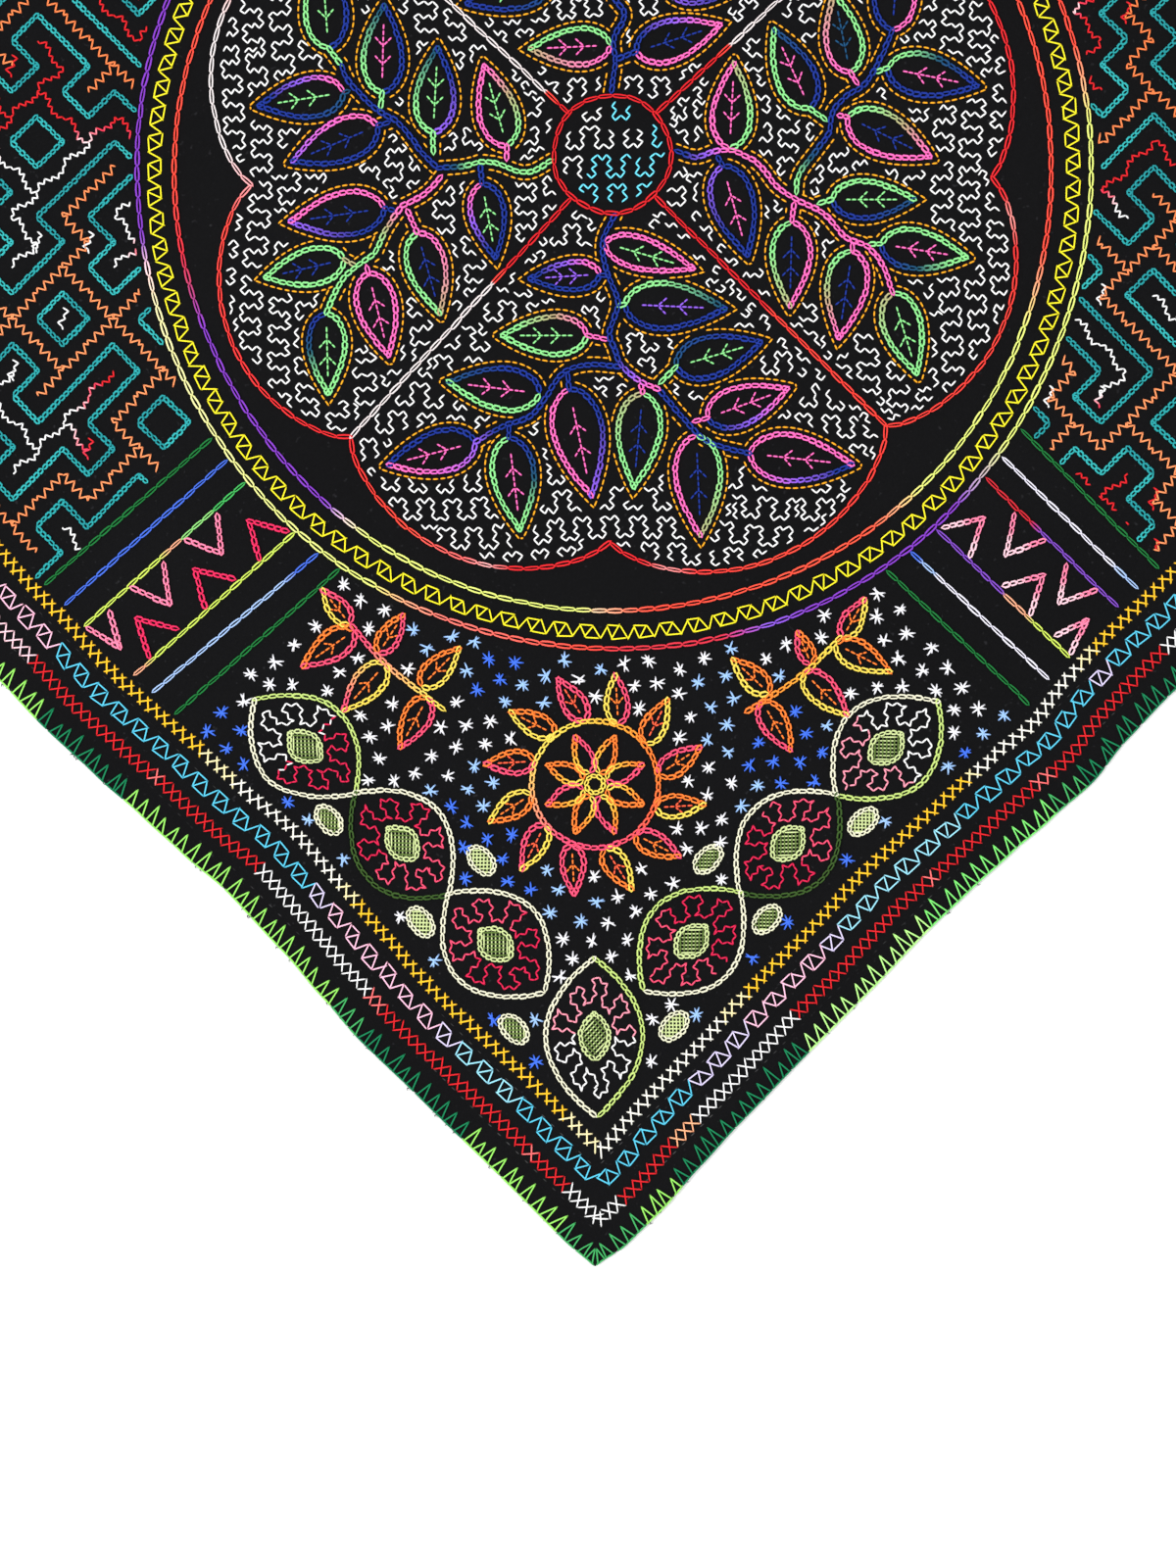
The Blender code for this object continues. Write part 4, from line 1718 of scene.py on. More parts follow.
RIGHT_SPRIG = Sprig(
    (
        leaf((52, 11, 54, 49), "pink", "green>tan", "pink"),
        leaf((88, 29, 72, 64), "green", "blue>teal", "pink"),
        leaf((106, 45, 99, 80), "pink>tan", "green", "teal"),
        leaf((125, 64, 128, 104), "blue", "pink", "blue"),
        leaf((123, 47, 163, 39), "green>blue", "blue", "pink"),
        leaf((105, 25, 142, 7), "green>pink", "pink", "blue"),
        leaf((98, -12, 135, -12), "green", "blue>teal", "green"),
        leaf((120, -32, 158, -38), "green", "blue>green", "pink"),
        leaf((125, -54, 136, -90), "green", "tan>green", "green"),
        leaf((107, -35, 101, -74), "pink", "green>pink", "blue"),
        leaf((80, -22, 79, -60), "pink", "green>tan", "blue"),
        leaf((49, 3, 60, -37), "blue", "violet>blue", "pink"),
    ),
    (
        ("blue>pink", ((27, 10), (37, 7), (46, 10), (54, 10))),
        ("pink", ((54, 10), (65, 4), (73, -6), (82, -12), (94, -18), (104, -29), (114, -33), (121, -42),
                  (125, -54))),
        ("green>blue", ((82, -10), (83, -1), (91, 10), (97, 18))),
        ("blue", ((97, 18), (98, 27), (104, 34), (113, 40), (120, 52), (125, 64))),
        ("pink", ((81, -13), (80, -22))), ("pink", ((107, -31), (107, -35))),
        ("green", ((91, -14), (98, -12))), ("green", ((114, -32), (120, -32))),
        ("pink", ((100, 26), (105, 25))), ("green", ((117, 45), (123, 47))),
        ("pink", ((110, 39), (106, 45))), ("green", ((96, 23), (88, 29))),
        ("blue", ((46, 8), (49, 3))),
    ),
)


def far_sprig() -> Sprig:
    """The sprig past the middle circle: the near one turned half round, but for its lowest leaves."""
    across = NEAR_SPRIG.half_turned()
    leaves = (
        leaf((-1.5, 57.2, -37.5, 55.6), "pink>tan", "green", "pink"),
        leaf((10.2, 54.3, 47.8, 66.2), "blue>pink", "pink", "blue"),
        leaf((23, 83.5, 60, 86), "blue", "violet>blue", "green"),
        leaf((35.5, 104.5, 75, 102), "green", "blue>teal", "pink"),
    )
    stems = (
        ("blue", ((-1.5, 35.3), (0.7, 49.4), (0.1, 60.6), (5.2, 70.7), (0, 78))),
        ("blue", ((0.7, 50.5), (10.2, 54.3))), ("blue", ((18, 88), (23, 83.5))),
    )
    leaves += across.leaves[4:5] + across.leaves[6:]
    return Sprig(leaves, stems + across.stems[1:6] + across.stems[7:11])


def stretches(wanted: np.ndarray) -> list[tuple[int, int]]:
    """Where each unbroken row of wanted steps starts, and the step after its last."""
    turns = np.flatnonzero(np.diff(np.concatenate([[0], np.asarray(wanted, int), [0]])))
    return list(zip(turns[::2].tolist(), turns[1::2].tolist()))


def long_runs(wanted: np.ndarray, least: int) -> np.ndarray:
    """Keeps what is wanted only where enough of it stands in a row.

    Args:
        wanted: which steps are wanted.
        least: how many in a row are enough.

    Returns:
        Which steps are kept.
    """
    kept = np.zeros(len(wanted), bool)
    for start, stop in stretches(wanted):
        kept[start:stop] = stop - start >= least
    return kept


def nearest(points: np.ndarray, others: np.ndarray) -> np.ndarray:
    """How far each point stands from the nearest of the others."""
    gaps = np.full(len(points), np.inf)
    for first in range(0, len(others), 400):
        part = others[first : first + 400]
        apart = np.hypot(points[:, None, 0] - part[None, :, 0], points[:, None, 1] - part[None, :, 1])
        gaps = np.minimum(gaps, apart.min(axis=1))
    return gaps


@dataclass
class Meander:
    """The small stepped repeat that fills a ground: fourteen slanted steps and over again."""

    step: tuple[float, float] = (2.13 * MM, 2.0 * MM)
    row_pitch: float = 12.3 * MM
    ways: tuple[tuple[int, int], ...] = (
        (1, 1), (1, -1), (1, 1), (1, -1), (-1, -1), (1, -1), (-1, -1),
        (1, -1), (1, 1), (1, -1), (1, 1), (-1, 1), (1, 1), (-1, 1),
    )

    def row(self, length: float) -> np.ndarray:
        """The corners of one row, from its left end to its right end."""
        count = math.ceil(length / (self.step[0] * 6)) + 1
        ways = np.array(self.ways * count, float) * np.array(self.step)
        corners = np.vstack([[0.0, 0.0], np.cumsum(ways, axis=0)])
        corners[:, 1] += self.step[1] * 1.5
        return corners

    def rows(self, low: np.ndarray, high: np.ndarray, sway: float = 1.0) -> list[np.ndarray]:
        """Rows that cover a box, swayed as a hand draws them.

        Args:
            low: the box's least corner.
            high: its greatest corner.
            sway: how much they sway.

        Returns:
            Each row's corners.
        """
        made = []
        up = low[1] + self.row_pitch / 2
        while up < high[1]:
            corners = self.row(high[0] - low[0]) + (low[0] - RNG.uniform(0.0, 13.0) * MM, up)
            x, y = corners.T
            shift_x = 2.0 * MM * np.sin(y / (19 * MM) + x / (43 * MM))
            shift_y = 2.6 * MM * np.sin(x / (27 * MM) + 1.4 * np.sin(y / (31 * MM)))
            loose = RNG.normal(0.0, 0.22 * MM, corners.shape)
            made.append(corners + np.column_stack([shift_x, shift_y]) * sway + loose)
            up += self.row_pitch * RNG.uniform(0.97, 1.04)
        return made


NOWHERE = np.full((1, 2), 9.0)


@dataclass
class Medallion:
    """Four leafy sprigs inside the scalloped line, outlined in gold, on a stepped ground."""

    rings: Rings
    sprigs: tuple[Sprig, ...] = (NEAR_SPRIG, LEFT_SPRIG, RIGHT_SPRIG, far_sprig())
    link: float = 3.3 * MM
    outline: float = 3.2 * MM
    ground_gap: float = 0.9 * MM
    gap: float = 3.3 * MM
    dashes: tuple[float, float] = (0.66, 0.78)
    dash_pitch: float = 3.35 * MM
    rib: Veins = Veins((0.17, 0.80), 0.18, (0.34, 0.55), (3.6 * MM, 3.9 * MM))

    def place(self, points: np.ndarray) -> np.ndarray:
        """Moves points about the medallion's middle to the cloth's axes."""
        return from_diagonal(np.asarray(points) + self.rings.middle)

    @property
    def leaves(self) -> list[Leaf]:
        """Every leaf of the four sprigs."""
        return [one for sprig in self.sprigs for one in sprig.leaves]

    def build(self) -> None:
        """Works leaves and stems, then veins, gold outlines and the ground."""
        self.chains()
        self.veins()
        self.outlines()
        self.ground()

    def chains(self) -> None:
        """The chained stems and the two sides of every leaf."""
        work = Needlework("leaf_chains")
        for sprig in self.sprigs:
            for dye, line in sprig.lines():
                work.chain(TIGHT_LINK, self.place(line), self.link, leaf_fade(dye), overlap=0.3)
            for one in sprig.leaves:
                for sign, dye in ((1.0, one.left), (-1.0, one.right)):
                    path = self.place(one.side(sign))
                    work.chain(TIGHT_LINK, path, self.link, leaf_fade(dye), overlap=0.3)
        dress(work, LEAF_FADES)

    def veins(self) -> None:
        """A dashed midrib in each leaf, with two pairs of side veins."""
        work = Needlework("leaf_veins")
        for one in self.leaves:
            self.rib.work(work, one, leaf_fade(one.vein), self.place)
        dress(work, LEAF_FADES)

    def worked_lines(self) -> np.ndarray:
        """Places all along the stems and the leaves' sides."""
        rows = []
        for sprig in self.sprigs:
            rows.extend(line for _, line in sprig.lines())
            for one in sprig.leaves:
                rows.extend((one.side(1.0), one.side(-1.0)))
        return np.vstack([spaced(row, 1.5 * MM) for row in rows])

    def outlines(self) -> None:
        """A gold running stitch a little outside every leaf and stem."""
        palette = Palette({"gold": GOLD})
        work = Needlework("gold_outlines")
        worked = self.worked_lines()
        kept = NOWHERE
        for path in self.outline_paths():
            places = np.array(spaced(path, self.dash_pitch))
            middles = (places[1:] + places[:-1]) / 2
            clear = (nearest(middles, worked) > self.outline * 0.78) & (nearest(middles, kept) > 2.0 * MM)
            clear &= np.hypot(*(middles - self.rings.hub_middle).T) > self.rings.hub + 2.0 * MM
            for here, there, free in zip(places, places[1:], clear):
                if free:
                    stop = here + (there - here) * RNG.uniform(*self.dashes)
                    ends = tuple(self.place(here)), tuple(self.place(stop))
                    work.work(RUNNING, *ends, palette.pair("gold"))
            kept = np.vstack([kept, middles[clear]])
        self.gold = kept
        dress(work, palette.dyes)

    def outline_paths(self) -> list[np.ndarray]:
        """The lines that the gold thread may follow, round leaves and beside stems."""
        paths = []
        for one in self.leaves:
            there = one.side(1.0, self.outline, first=0.02)
            back = one.side(-1.0, self.outline, first=0.02)[::-1]
            paths.append(np.vstack([there, back[1:]]))
        for sprig in self.sprigs:
            for _, line in sprig.lines():
                ahead = np.gradient(line, axis=0)
                ahead /= np.hypot(*ahead.T)[:, None]
                across = np.column_stack([-ahead[:, 1], ahead[:, 0]])
                paths.extend((line + across * self.outline, line - across * self.outline))
        return paths

    def free(self, points: np.ndarray) -> np.ndarray:
        """Which places belong to the medallion's ground, clear of leaves and lines."""
        reach = np.hypot(*points.T)
        angle = np.arctan2(points[:, 1], points[:, 0])
        edge = np.array([self.rings.scallop_reach(one) for one in angle])
        inside = reach < edge - 2.4 * MM
        inside &= np.hypot(*(points - self.rings.hub_middle).T) > self.rings.hub + 2.4 * MM
        for start, end in self.rings.spoke_ends():
            heading = (end - start) / math.dist(end, start)
            away = points - start
            inside &= ~((away @ heading > 0.0) & (np.abs(away @ [-heading[1], heading[0]]) < 2.2 * MM))
        for one in self.leaves:
            along, aside = one.local(points)
            near = (along > -0.02) & (along < 1.0 + (self.outline * 1.7 + self.ground_gap) / one.length)
            inside &= ~(near & (np.abs(aside) < one.bulge(along) + self.outline + self.ground_gap))
        return inside & (nearest(points, self.gold) > self.ground_gap * 1.4)

    def ground(self) -> None:
        """White stepped rows all over the ground, and the four rows in the middle circle."""
        palette = Palette({"white": WHITE, "sky": rgb(105, 215, 240)})
        work = Needlework("stepped_ground")
        reach = self.rings.widest
        meander = Meander()
        worked = [self.gold]
        stems = np.vstack([spaced(line, 1.5 * MM) for sprig in self.sprigs for _, line in sprig.lines()])
        for upright in (False, True):
            for corners in meander.rows(np.array([-reach, -reach]), np.array([reach, reach])):
                corners = corners[:, ::-1] if upright else corners
                ok = (np.abs(corners[:, 0]) > np.abs(corners[:, 1])) == upright
                ok &= self.free(corners) & (nearest(corners, stems) > self.outline + self.ground_gap)
                worked.append(self.stitch(work, corners, ok, palette.pair("white")))
        self.fill_gaps(work, palette.pair("white"), np.vstack(worked), stems)
        hub = self.rings.hub - 2.6 * MM
        for corners in meander.rows(np.array([-hub, -hub]), np.array([hub, hub * 0.98]), sway=0.4):
            ok = np.hypot(*corners.T) < hub
            right, up = corners.T / MM
            blue = right > np.select([up > 12.0, up > 0.0, up > -14.0], [-2.0, 17.0, -13.0], -99.0)
            self.stitch(work, corners + self.rings.hub_middle, ok & blue, palette.pair("sky"))
            self.stitch(work, corners + self.rings.hub_middle, ok & ~blue, palette.pair("white"))
        dress(work, palette.dyes)

    def stitch(
        self, work: Needlework, corners: np.ndarray, ok: np.ndarray, dye: tuple[float, float]
    ) -> np.ndarray:
        """Works the steps whose two ends are both in their ground.

        Args:
            work: the thread.
            corners: the steps' ends, in order.
            ok: which of them are in their ground.
            dye: the thread's dye.

        Returns:
            The middles of the steps that were worked.
        """
        places = self.place(corners)
        both = long_runs(ok[:-1] & ok[1:], 3)
        for here, there, free in zip(places, places[1:], both):
            if free:
                work.work(BACK, tuple(here), tuple(there), dye)
        return ((corners[1:] + corners[:-1]) / 2)[both]

    def fill_gaps(
        self, work: Needlework, dye: tuple[float, float], worked: np.ndarray, stems: np.ndarray
    ) -> None:
        """Puts short pieces of the same steps wherever the rows have left ground bare.

        Args:
            work: the thread.
            dye: its dye.
            worked: the middles of what is already sewn.
            stems: places along the stems.
        """
        reach = self.rings.widest
        grid = np.arange(-reach, reach, 2.6 * MM)
        spots = np.array([(x, y) for x in grid for y in grid])
        spots = spots + RNG.normal(0.0, 0.5 * MM, spots.shape)
        spots = spots[self.free(spots)]
        spots = spots[nearest(spots, worked) > self.gap]
        piece = Meander().row(6.0 * MM)[2:8]
        piece = piece - piece.mean(axis=0)
        for spot in RNG.permutation(spots):
            if nearest(spot[None, :], worked)[0] > self.gap:
                angle = RNG.choice([0.0, math.pi / 2, math.pi, -math.pi / 2]) + RNG.normal(0.0, 0.15)
                corners = turned(piece, angle) * 0.92 + spot
                ok = self.free(corners) & (nearest(corners, stems) > self.outline + self.ground_gap)
                ok &= nearest(corners, worked) > 1.7 * MM
                sewn = self.stitch(work, corners, ok, dye)
                worked = np.vstack([worked, sewn])


@dataclass(frozen=True)
class BarLine:
    """One chained line of a bar: its stand at the ring and at the border, and its dyes."""

    ring: float
    rim: float
    dyes: tuple[str, ...]


BAR_DYES = {
    "deep": BAR_GREEN, "green": rgb(60, 175, 85), "fresh": rgb(140, 215, 120), "red": rgb(200, 30, 45),
    "violet": rgb(125, 70, 190), "peach": rgb(235, 165, 130), "lime": rgb(200, 225, 90),
    "blue": rgb(65, 105, 215), "paleblue": rgb(160, 190, 235), "white": rgb(228, 226, 240),
    "crimson": rgb(232, 38, 92), "pink": rgb(250, 130, 165), "lightpink": rgb(248, 200, 212),
}


@dataclass
class Bars:
    """At the middle of each edge, six lines from the ring to the border with two rows of Vs."""

    rings: Rings
    rim_inset: float = 45.0 * MM
    link: float = 6.6 * MM
    start_inset: float = 0.142
    vee_base: float = 18.0 * MM
    vee_height: float = 16.0 * MM
    vee_foot: float = 1.8 * MM
    vee_apex: float = 0.58
    vee_spread: tuple[float, float] = (0.93, 1.04)
    vee_rows: dict[Edge, tuple[str, str, tuple[float, ...], tuple[float, ...]]] = field(
        default_factory=lambda: {
            Edge.NEAR_LEFT: ("pink", "crimson", (18.7, 50.0, 82.0), (1.5, 33.4, 66.0)),
            Edge.NEAR_RIGHT: ("pink>lightpink", "lightpink>pink", (20.4, 52.9), (1.0, 38.5, 71.0)),
            Edge.FAR_LEFT: ("crimson", "pink", (18.0, 50.0), (2.0, 34.0, 66.0)),
            Edge.FAR_RIGHT: ("lightpink", "pink", (17.0, 49.0), (1.0, 33.0, 65.0)),
        }
    )
    lines: dict[Edge, tuple[BarLine, ...]] = field(
        default_factory=lambda: {
            Edge.NEAR_LEFT: (
                BarLine(35.5, 42, ("deep",)), BarLine(23.7, 29.2, ("blue",)),
                BarLine(10.9, 16.2, ("green", "fresh", "peach>lime", "lime", "lime")),
                BarLine(-20.9, -15.2, ("lime", "lime", "lime", "lime", "lime>peach")),
                BarLine(-34.9, -26.4, ("blue>paleblue", "paleblue", "paleblue")),
                BarLine(-46.7, -40.4, ("deep",))),
            Edge.NEAR_RIGHT: (
                BarLine(52, 51.3, ("deep",)), BarLine(37, 38.3, ("white", "white", "white>paleblue")),
                BarLine(25.2, 26.2, ("red", "red>violet", "violet", "violet")),
                BarLine(-6.8, -5, ("violet", "violet", "violet>peach", "peach>lime", "lime")),
                BarLine(-22.4, -18.6, ("blue>white", "white", "white", "white")),
                BarLine(-36, -32.7, ("deep",))),
            Edge.FAR_LEFT: (
                BarLine(43, 44, ("deep",)), BarLine(30, 31, ("blue>white",)),
                BarLine(17, 18, ("violet>peach", "lime")), BarLine(-14, -13, ("red>violet",)),
                BarLine(-27, -26, ("white",)), BarLine(-40, -39, ("deep",))),
            Edge.FAR_RIGHT: (
                BarLine(43, 44, ("deep",)), BarLine(30, 31, ("paleblue>blue",)),
                BarLine(17, 18, ("green>fresh", "lime")), BarLine(-14, -13, ("lime>peach",)),
                BarLine(-27, -26, ("blue",)), BarLine(-40, -39, ("deep",))),
        }
    )

    def build(self) -> None:
        """Works the four bars."""
        palette = Palette(BAR_DYES)
        work = Needlework("bar_lines")
        for edge in Edge:
            paths = [self.path(edge, line) for line in self.lines[edge]]
            for path, line in zip(paths, self.lines[edge]):
                self.chain_in_parts(work, path, [palette.pair(name) for name in line.dyes])
            upper, lower, upper_starts, lower_starts = self.vee_rows[edge]
            self.vees(work, paths[2], paths[3], upper_starts, palette.pair(upper))
            self.vees(work, paths[3], paths[2], lower_starts, palette.pair(lower))
        dress(work, palette.dyes)

    def path(self, edge: Edge, line: BarLine) -> np.ndarray:
        """A line's course from the outer ring to the border's innermost row."""
        insets = np.linspace(0.20, self.rim_inset, 320)
        share = (insets - insets[-1]) / (self.start_inset - insets[-1])
        lateral = (line.rim + (line.ring - line.rim) * share) * MM
        spots = np.array([edge.place(HALF + y, inset) for y, inset in zip(lateral, insets)])
        middle = from_diagonal(self.rings.middle)
        outside = np.hypot(*(spots - middle).T) > self.rings.outer + 1.6 * MM
        return spots[outside]

    def chain_in_parts(self, work: Needlework, path: np.ndarray, dyes: list[tuple[float, float]]) -> None:
        """Chains a path in as many even parts as there are dyes."""
        stops = np.linspace(0, len(path) - 1, len(dyes) + 1).astype(int)
        for first, last, dye in zip(stops, stops[1:], dyes):
            work.chain(RING_LINK, path[first : last + 1], self.link, dye, width=0.86)

    def vees(
        self,
        work: Needlework,
        base: np.ndarray,
        other: np.ndarray,
        starts: tuple[float, ...],
        dye: tuple[float, float],
    ) -> None:
        """Works Vs that open onto one line and point at the other.

        Args:
            work: the thread.
            base: the line they stand on.
            other: the line they point at.
            starts: where each one starts along the base, in millimetres.
            dye: their colours.
        """
        length = float(np.hypot(*(base[-1] - base[0])))
        ahead = (base[-1] - base[0]) / length
        across = other[len(other) // 2] - base[len(base) // 2]
        across = across - ahead * float(across @ ahead)
        across = across / float(np.hypot(*across))
        for start in starts:
            near = base[0] + ahead * start * MM + across * self.vee_foot
            far = near + ahead * min(self.vee_base, length - start * MM)
            rise = across * self.vee_height * RNG.uniform(*self.vee_spread)
            apex = near + (far - near) * self.vee_apex + rise
            for ends, tones in (((near, apex), dye), ((apex, far), dye[::-1])):
                work.chain(TIGHT_LINK, np.array(ends), 3.3 * MM, tones, overlap=0.3)


@dataclass
class Maze:
    """A labyrinth of teal lines on a square lattice, with a wavy line in every corridor."""

    rings: Rings
    sign: float
    bars: tuple[float, float]
    unit: float = 16.2 * MM
    rim: float = 306.5 * MM
    count: int = 19
    zigzag: float = 1.9 * MM
    teeth: int = 7
    waver: float = 1.1 * MM
    wave_pitch: float = 3.3 * MM
    sway: float = 1.6 * MM
    stub: float = 3.5 * MM
    link: float = 2.75 * MM
    check: float = 0.8 * MM
    shortest: float = 5.0 * MM
    tones: tuple[float, ...] = (0.2, 0.5, 0.8)

    def cells(self) -> np.ndarray:
        """Two kinds of cell laid so that no four in a square are alike or chequered.

        Returns:
            True and False for each cell.
        """
        kinds = RNG.random((self.count, self.count)) < 0.5
        for column in range(1, self.count):
            for row in range(1, self.count):
                left, below = kinds[column - 1, row], kinds[column, row - 1]
                if left == below:
                    kinds[column, row] = left if kinds[column - 1, row - 1] != left else not left
        return kinds

    def spot(self, column: float, row: float) -> np.ndarray:
        """A lattice place on the cloth, counted in from the corner by the rim."""
        place = np.array([self.rim - column * self.unit, self.rim - row * self.unit])
        stray = np.sin(place[::-1] / (23 * MM) + self.sign) * 0.5 * MM
        return (place + stray) * np.array([self.sign, -self.sign])

    def inside(self, points: np.ndarray, margin: float) -> np.ndarray:
        """Which places lie in the panel, at least a margin from its borders."""
        away = points * np.array([self.sign, -self.sign])
        middle = from_diagonal(self.rings.middle)
        clear = (away > np.array(self.bars) + margin).all(axis=1)
        clear &= (away < self.rim + 1.0 * MM - margin).all(axis=1)
        return clear & (np.hypot(*(points - middle).T) > self.rings.outer + 2.2 * MM + margin)

    def build(self, teal: Needlework, orange: Needlework, wavy: Needlework) -> None:
        """Works the lines of one panel.

        Args:
            teal: the thread of the labyrinth's lines.
            orange: the thread of the zigzags.
            wavy: the thread of the wavy lines.
        """
        kinds = self.cells()
        for course in self.walls(kinds):
            self.wall(teal, course)
        for column in range(self.count):
            for row in range(self.count):
                here = self.spot(column + 0.5, row + 0.5)
                joined = False
                plain = bool(kinds[column, row])
                for over, up in ((1, 0), (0, 1)):
                    beside = kinds[column : column + over + 1, row : row + up + 1]
                    if beside.size == 2 and beside.all() == beside.any():
                        there = self.spot(column + over + 0.5, row + up + 0.5)
                        self.corridor(orange if plain else wavy, here, there, plain)
                        joined = True
                if not joined and RNG.random() < 0.5:
                    self.corridor(wavy, here - self.stub, here + self.stub, False)

    def walls(self, kinds: np.ndarray) -> list[np.ndarray]:
        """Every straight stretch between unlike cells, from end to end."""
        courses = []
        for turned_over in (False, True):
            field_of = kinds.T if turned_over else kinds
            for line in range(1, self.count):
                for ends in stretches(field_of[line - 1] != field_of[line]):
                    spots = [(end, line) if turned_over else (line, end) for end in ends]
                    courses.append(np.array([self.spot(*spot) for spot in spots]))
        return courses

    def wall(self, teal: Needlework, course: np.ndarray) -> None:
        """Chains the parts of a stretch that lie in the panel."""
        path = np.array(spaced(course, self.check))
        tone = RNG.choice(self.tones)
        for start, stop in stretches(self.inside(path, self.check / 2)):
            if (stop - start) * self.check > self.shortest:
                teal.chain(SMALL_LINK, path[start:stop], self.link, (tone, tone), width=1.1, overlap=0.3)

    def corridor(self, thread: Needlework, here: np.ndarray, there: np.ndarray, plain: bool) -> None:
        """A zigzag or a wavy line between the middles of two like cells.

        Args:
            thread: the thread it is sewn with.
            here: where it starts.
            there: where it ends.
            plain: whether it is the even zigzag.
        """
        ahead = there - here
        length = float(np.hypot(*ahead))
        ahead = ahead / length
        across = np.array([-ahead[1], ahead[0]])
        if plain:
            share = np.array([0.0, *(np.arange(0.5, self.teeth) / self.teeth), 1.0])
            aside = np.where(np.arange(len(share)) % 2 == 0, -self.zigzag, self.zigzag)
            aside[[0, -1]] = 0.0
        else:
            count = max(4, 2 * round(length / self.wave_pitch))
            share = np.linspace(0.0, 1.0, count + 1)
            aside = np.where(np.arange(count + 1) % 2 == 0, self.waver, -self.waver)
            aside[[0, -1]] = 0.0
            aside = aside + np.sin(2.0 * math.pi * share) * self.sway
        points = here + (share * length)[:, None] * ahead + aside[:, None] * across
        points = points + RNG.normal(0.0, 0.14 * MM, points.shape)
        ok = self.inside(points, 0.6 * MM)
        for one, two, both in zip(points, points[1:], ok[:-1] & ok[1:]):
            if both:
                thread.work(BACK, tuple(one), tuple(two), self.tone(one, plain))

    def tone(self, spot: np.ndarray, plain: bool) -> tuple[float, float]:
        """Where a stitch's dye stands on its thread's colours."""
        x, y = spot / MM
        drift = math.sin(x / 31.0 + 1.3 * math.sin(y / 37.0)) + 0.8 * math.sin(y / 24.0 + self.sign)
        share = 0.5 + 0.4 * math.sin(x / 50.0) if plain else float(np.clip(0.5 + 0.42 * drift, 0.02, 0.98))
        return share, share


@dataclass
class Mazes:
    """The two labyrinth panels, at the left corner and at the right one."""

    rings: Rings

    def build(self) -> None:
        """Works both panels with their three threads."""
        names = ("teal_labyrinth", "orange_zigzags", "wavy_lines")
        teal, orange, wavy = (Needlework(name) for name in names)
        for sign, bars in ((-1.0, (44 * MM, 41.5 * MM)), (1.0, (53.5 * MM, 42 * MM))):
            Maze(self.rings, sign, bars).build(teal, orange, wavy)
        teals = ((0.0, rgb(22, 135, 142)), (0.5, rgb(32, 155, 158)), (1.0, rgb(50, 178, 178)))
        dress(teal, teals)
        dress(orange, ((0.0, rgb(240, 120, 60)), (1.0, rgb(250, 150, 95))))
        dress(wavy, (
            (0.0, WHITE), (0.40, WHITE), (0.48, rgb(245, 170, 180)), (0.54, rgb(235, 60, 90)), (0.60, RED),
            (1.0, RED),
        ))


PANEL_FADES = (
    (0.00, ORANGE), (0.10, ORANGE), (0.20, rgb(245, 165, 50)), (0.30, rgb(238, 208, 75)),
    (0.42, rgb(238, 212, 90)), (0.54, rgb(245, 160, 110)), (0.64, rgb(240, 80, 115)),
    (0.78, rgb(238, 70, 110)), (0.90, rgb(248, 95, 60)), (1.00, ORANGE),
)
PANEL_PLACES = {"orange": 0.05, "yellow": 0.36, "rose": 0.71, "coral": 0.90}


def panel_fade(name: str) -> tuple[float, float]:
    """Places on the corner panels' leaf thread for a dye, or a fade written as one>other."""
    first, _, last = name.partition(">")
    return PANEL_PLACES[first], PANEL_PLACES[last or first]


def heading_axes(angle: float) -> np.ndarray:
    """The way ahead at an angle in radians, and the way to the left of it."""
    c, s = math.cos(angle), math.sin(angle)
    return np.array([[c, s], [-s, c]])


@dataclass(frozen=True)
class Lozenge:
    """A long shape with pointed ends, chained round, with a netted eye in its middle."""

    middle: tuple[float, float]
    heading: float
    half_length: float
    half_width: float
    dyes: tuple[str, str]
    fill: tuple[str, str]

    def local(self, points: np.ndarray) -> np.ndarray:
        """Points along and across the lozenge, measured from its middle."""
        c, s = math.cos(self.heading), math.sin(self.heading)
        away = points - np.array(self.middle)
        return np.column_stack([away @ np.array([c, s]), away @ np.array([-s, c])])

    def within(self, points: np.ndarray, grown: float) -> np.ndarray:
        """Which places are inside its line, or within a distance outside it."""
        along, across = np.abs(self.local(points)).T
        share = np.clip(along / (self.half_length + grown), 0.0, 1.0)
        return (across < (self.half_width + grown) * self.swell(share)) & (along < self.half_length + grown)

    @staticmethod
    def swell(share: np.ndarray) -> np.ndarray:
        """Its half width, against the widest, at a share of the way to a tip."""
        return (1.0 - share**2) ** 0.95

    def side(self, sign: float, scale: float = 1.0) -> np.ndarray:
        """Points along one side from tip to tip, for a scale about the middle."""
        share = np.linspace(-1.0, 1.0, 49)
        along = share * self.half_length * scale
        across = sign * self.swell(np.abs(share)) * self.half_width * scale
        c, s = math.cos(self.heading), math.sin(self.heading)
        return np.array(self.middle) + np.column_stack([along * c - across * s, along * s + across * c])


def lozenge(row: tuple[float, ...], dyes: tuple[str, str], fill: tuple[str, str]) -> Lozenge:
    """A lozenge from its middle, its heading in degrees and its two halves, in millimetres."""
    right, up, heading, half_length, half_width = row
    middle = right * MM, up * MM
    return Lozenge(middle, math.radians(heading), half_length * MM, half_width * MM, dyes, fill)


WREATH = (0.0, -277.0)
SIDE_STEMS = (
    ("yellow>rose", ((-67, -244), (-75, -238), (-94, -223), (-109, -206))),
    ("orange>yellow", ((67, -245), (75, -240), (94, -227), (110, -211))),
)


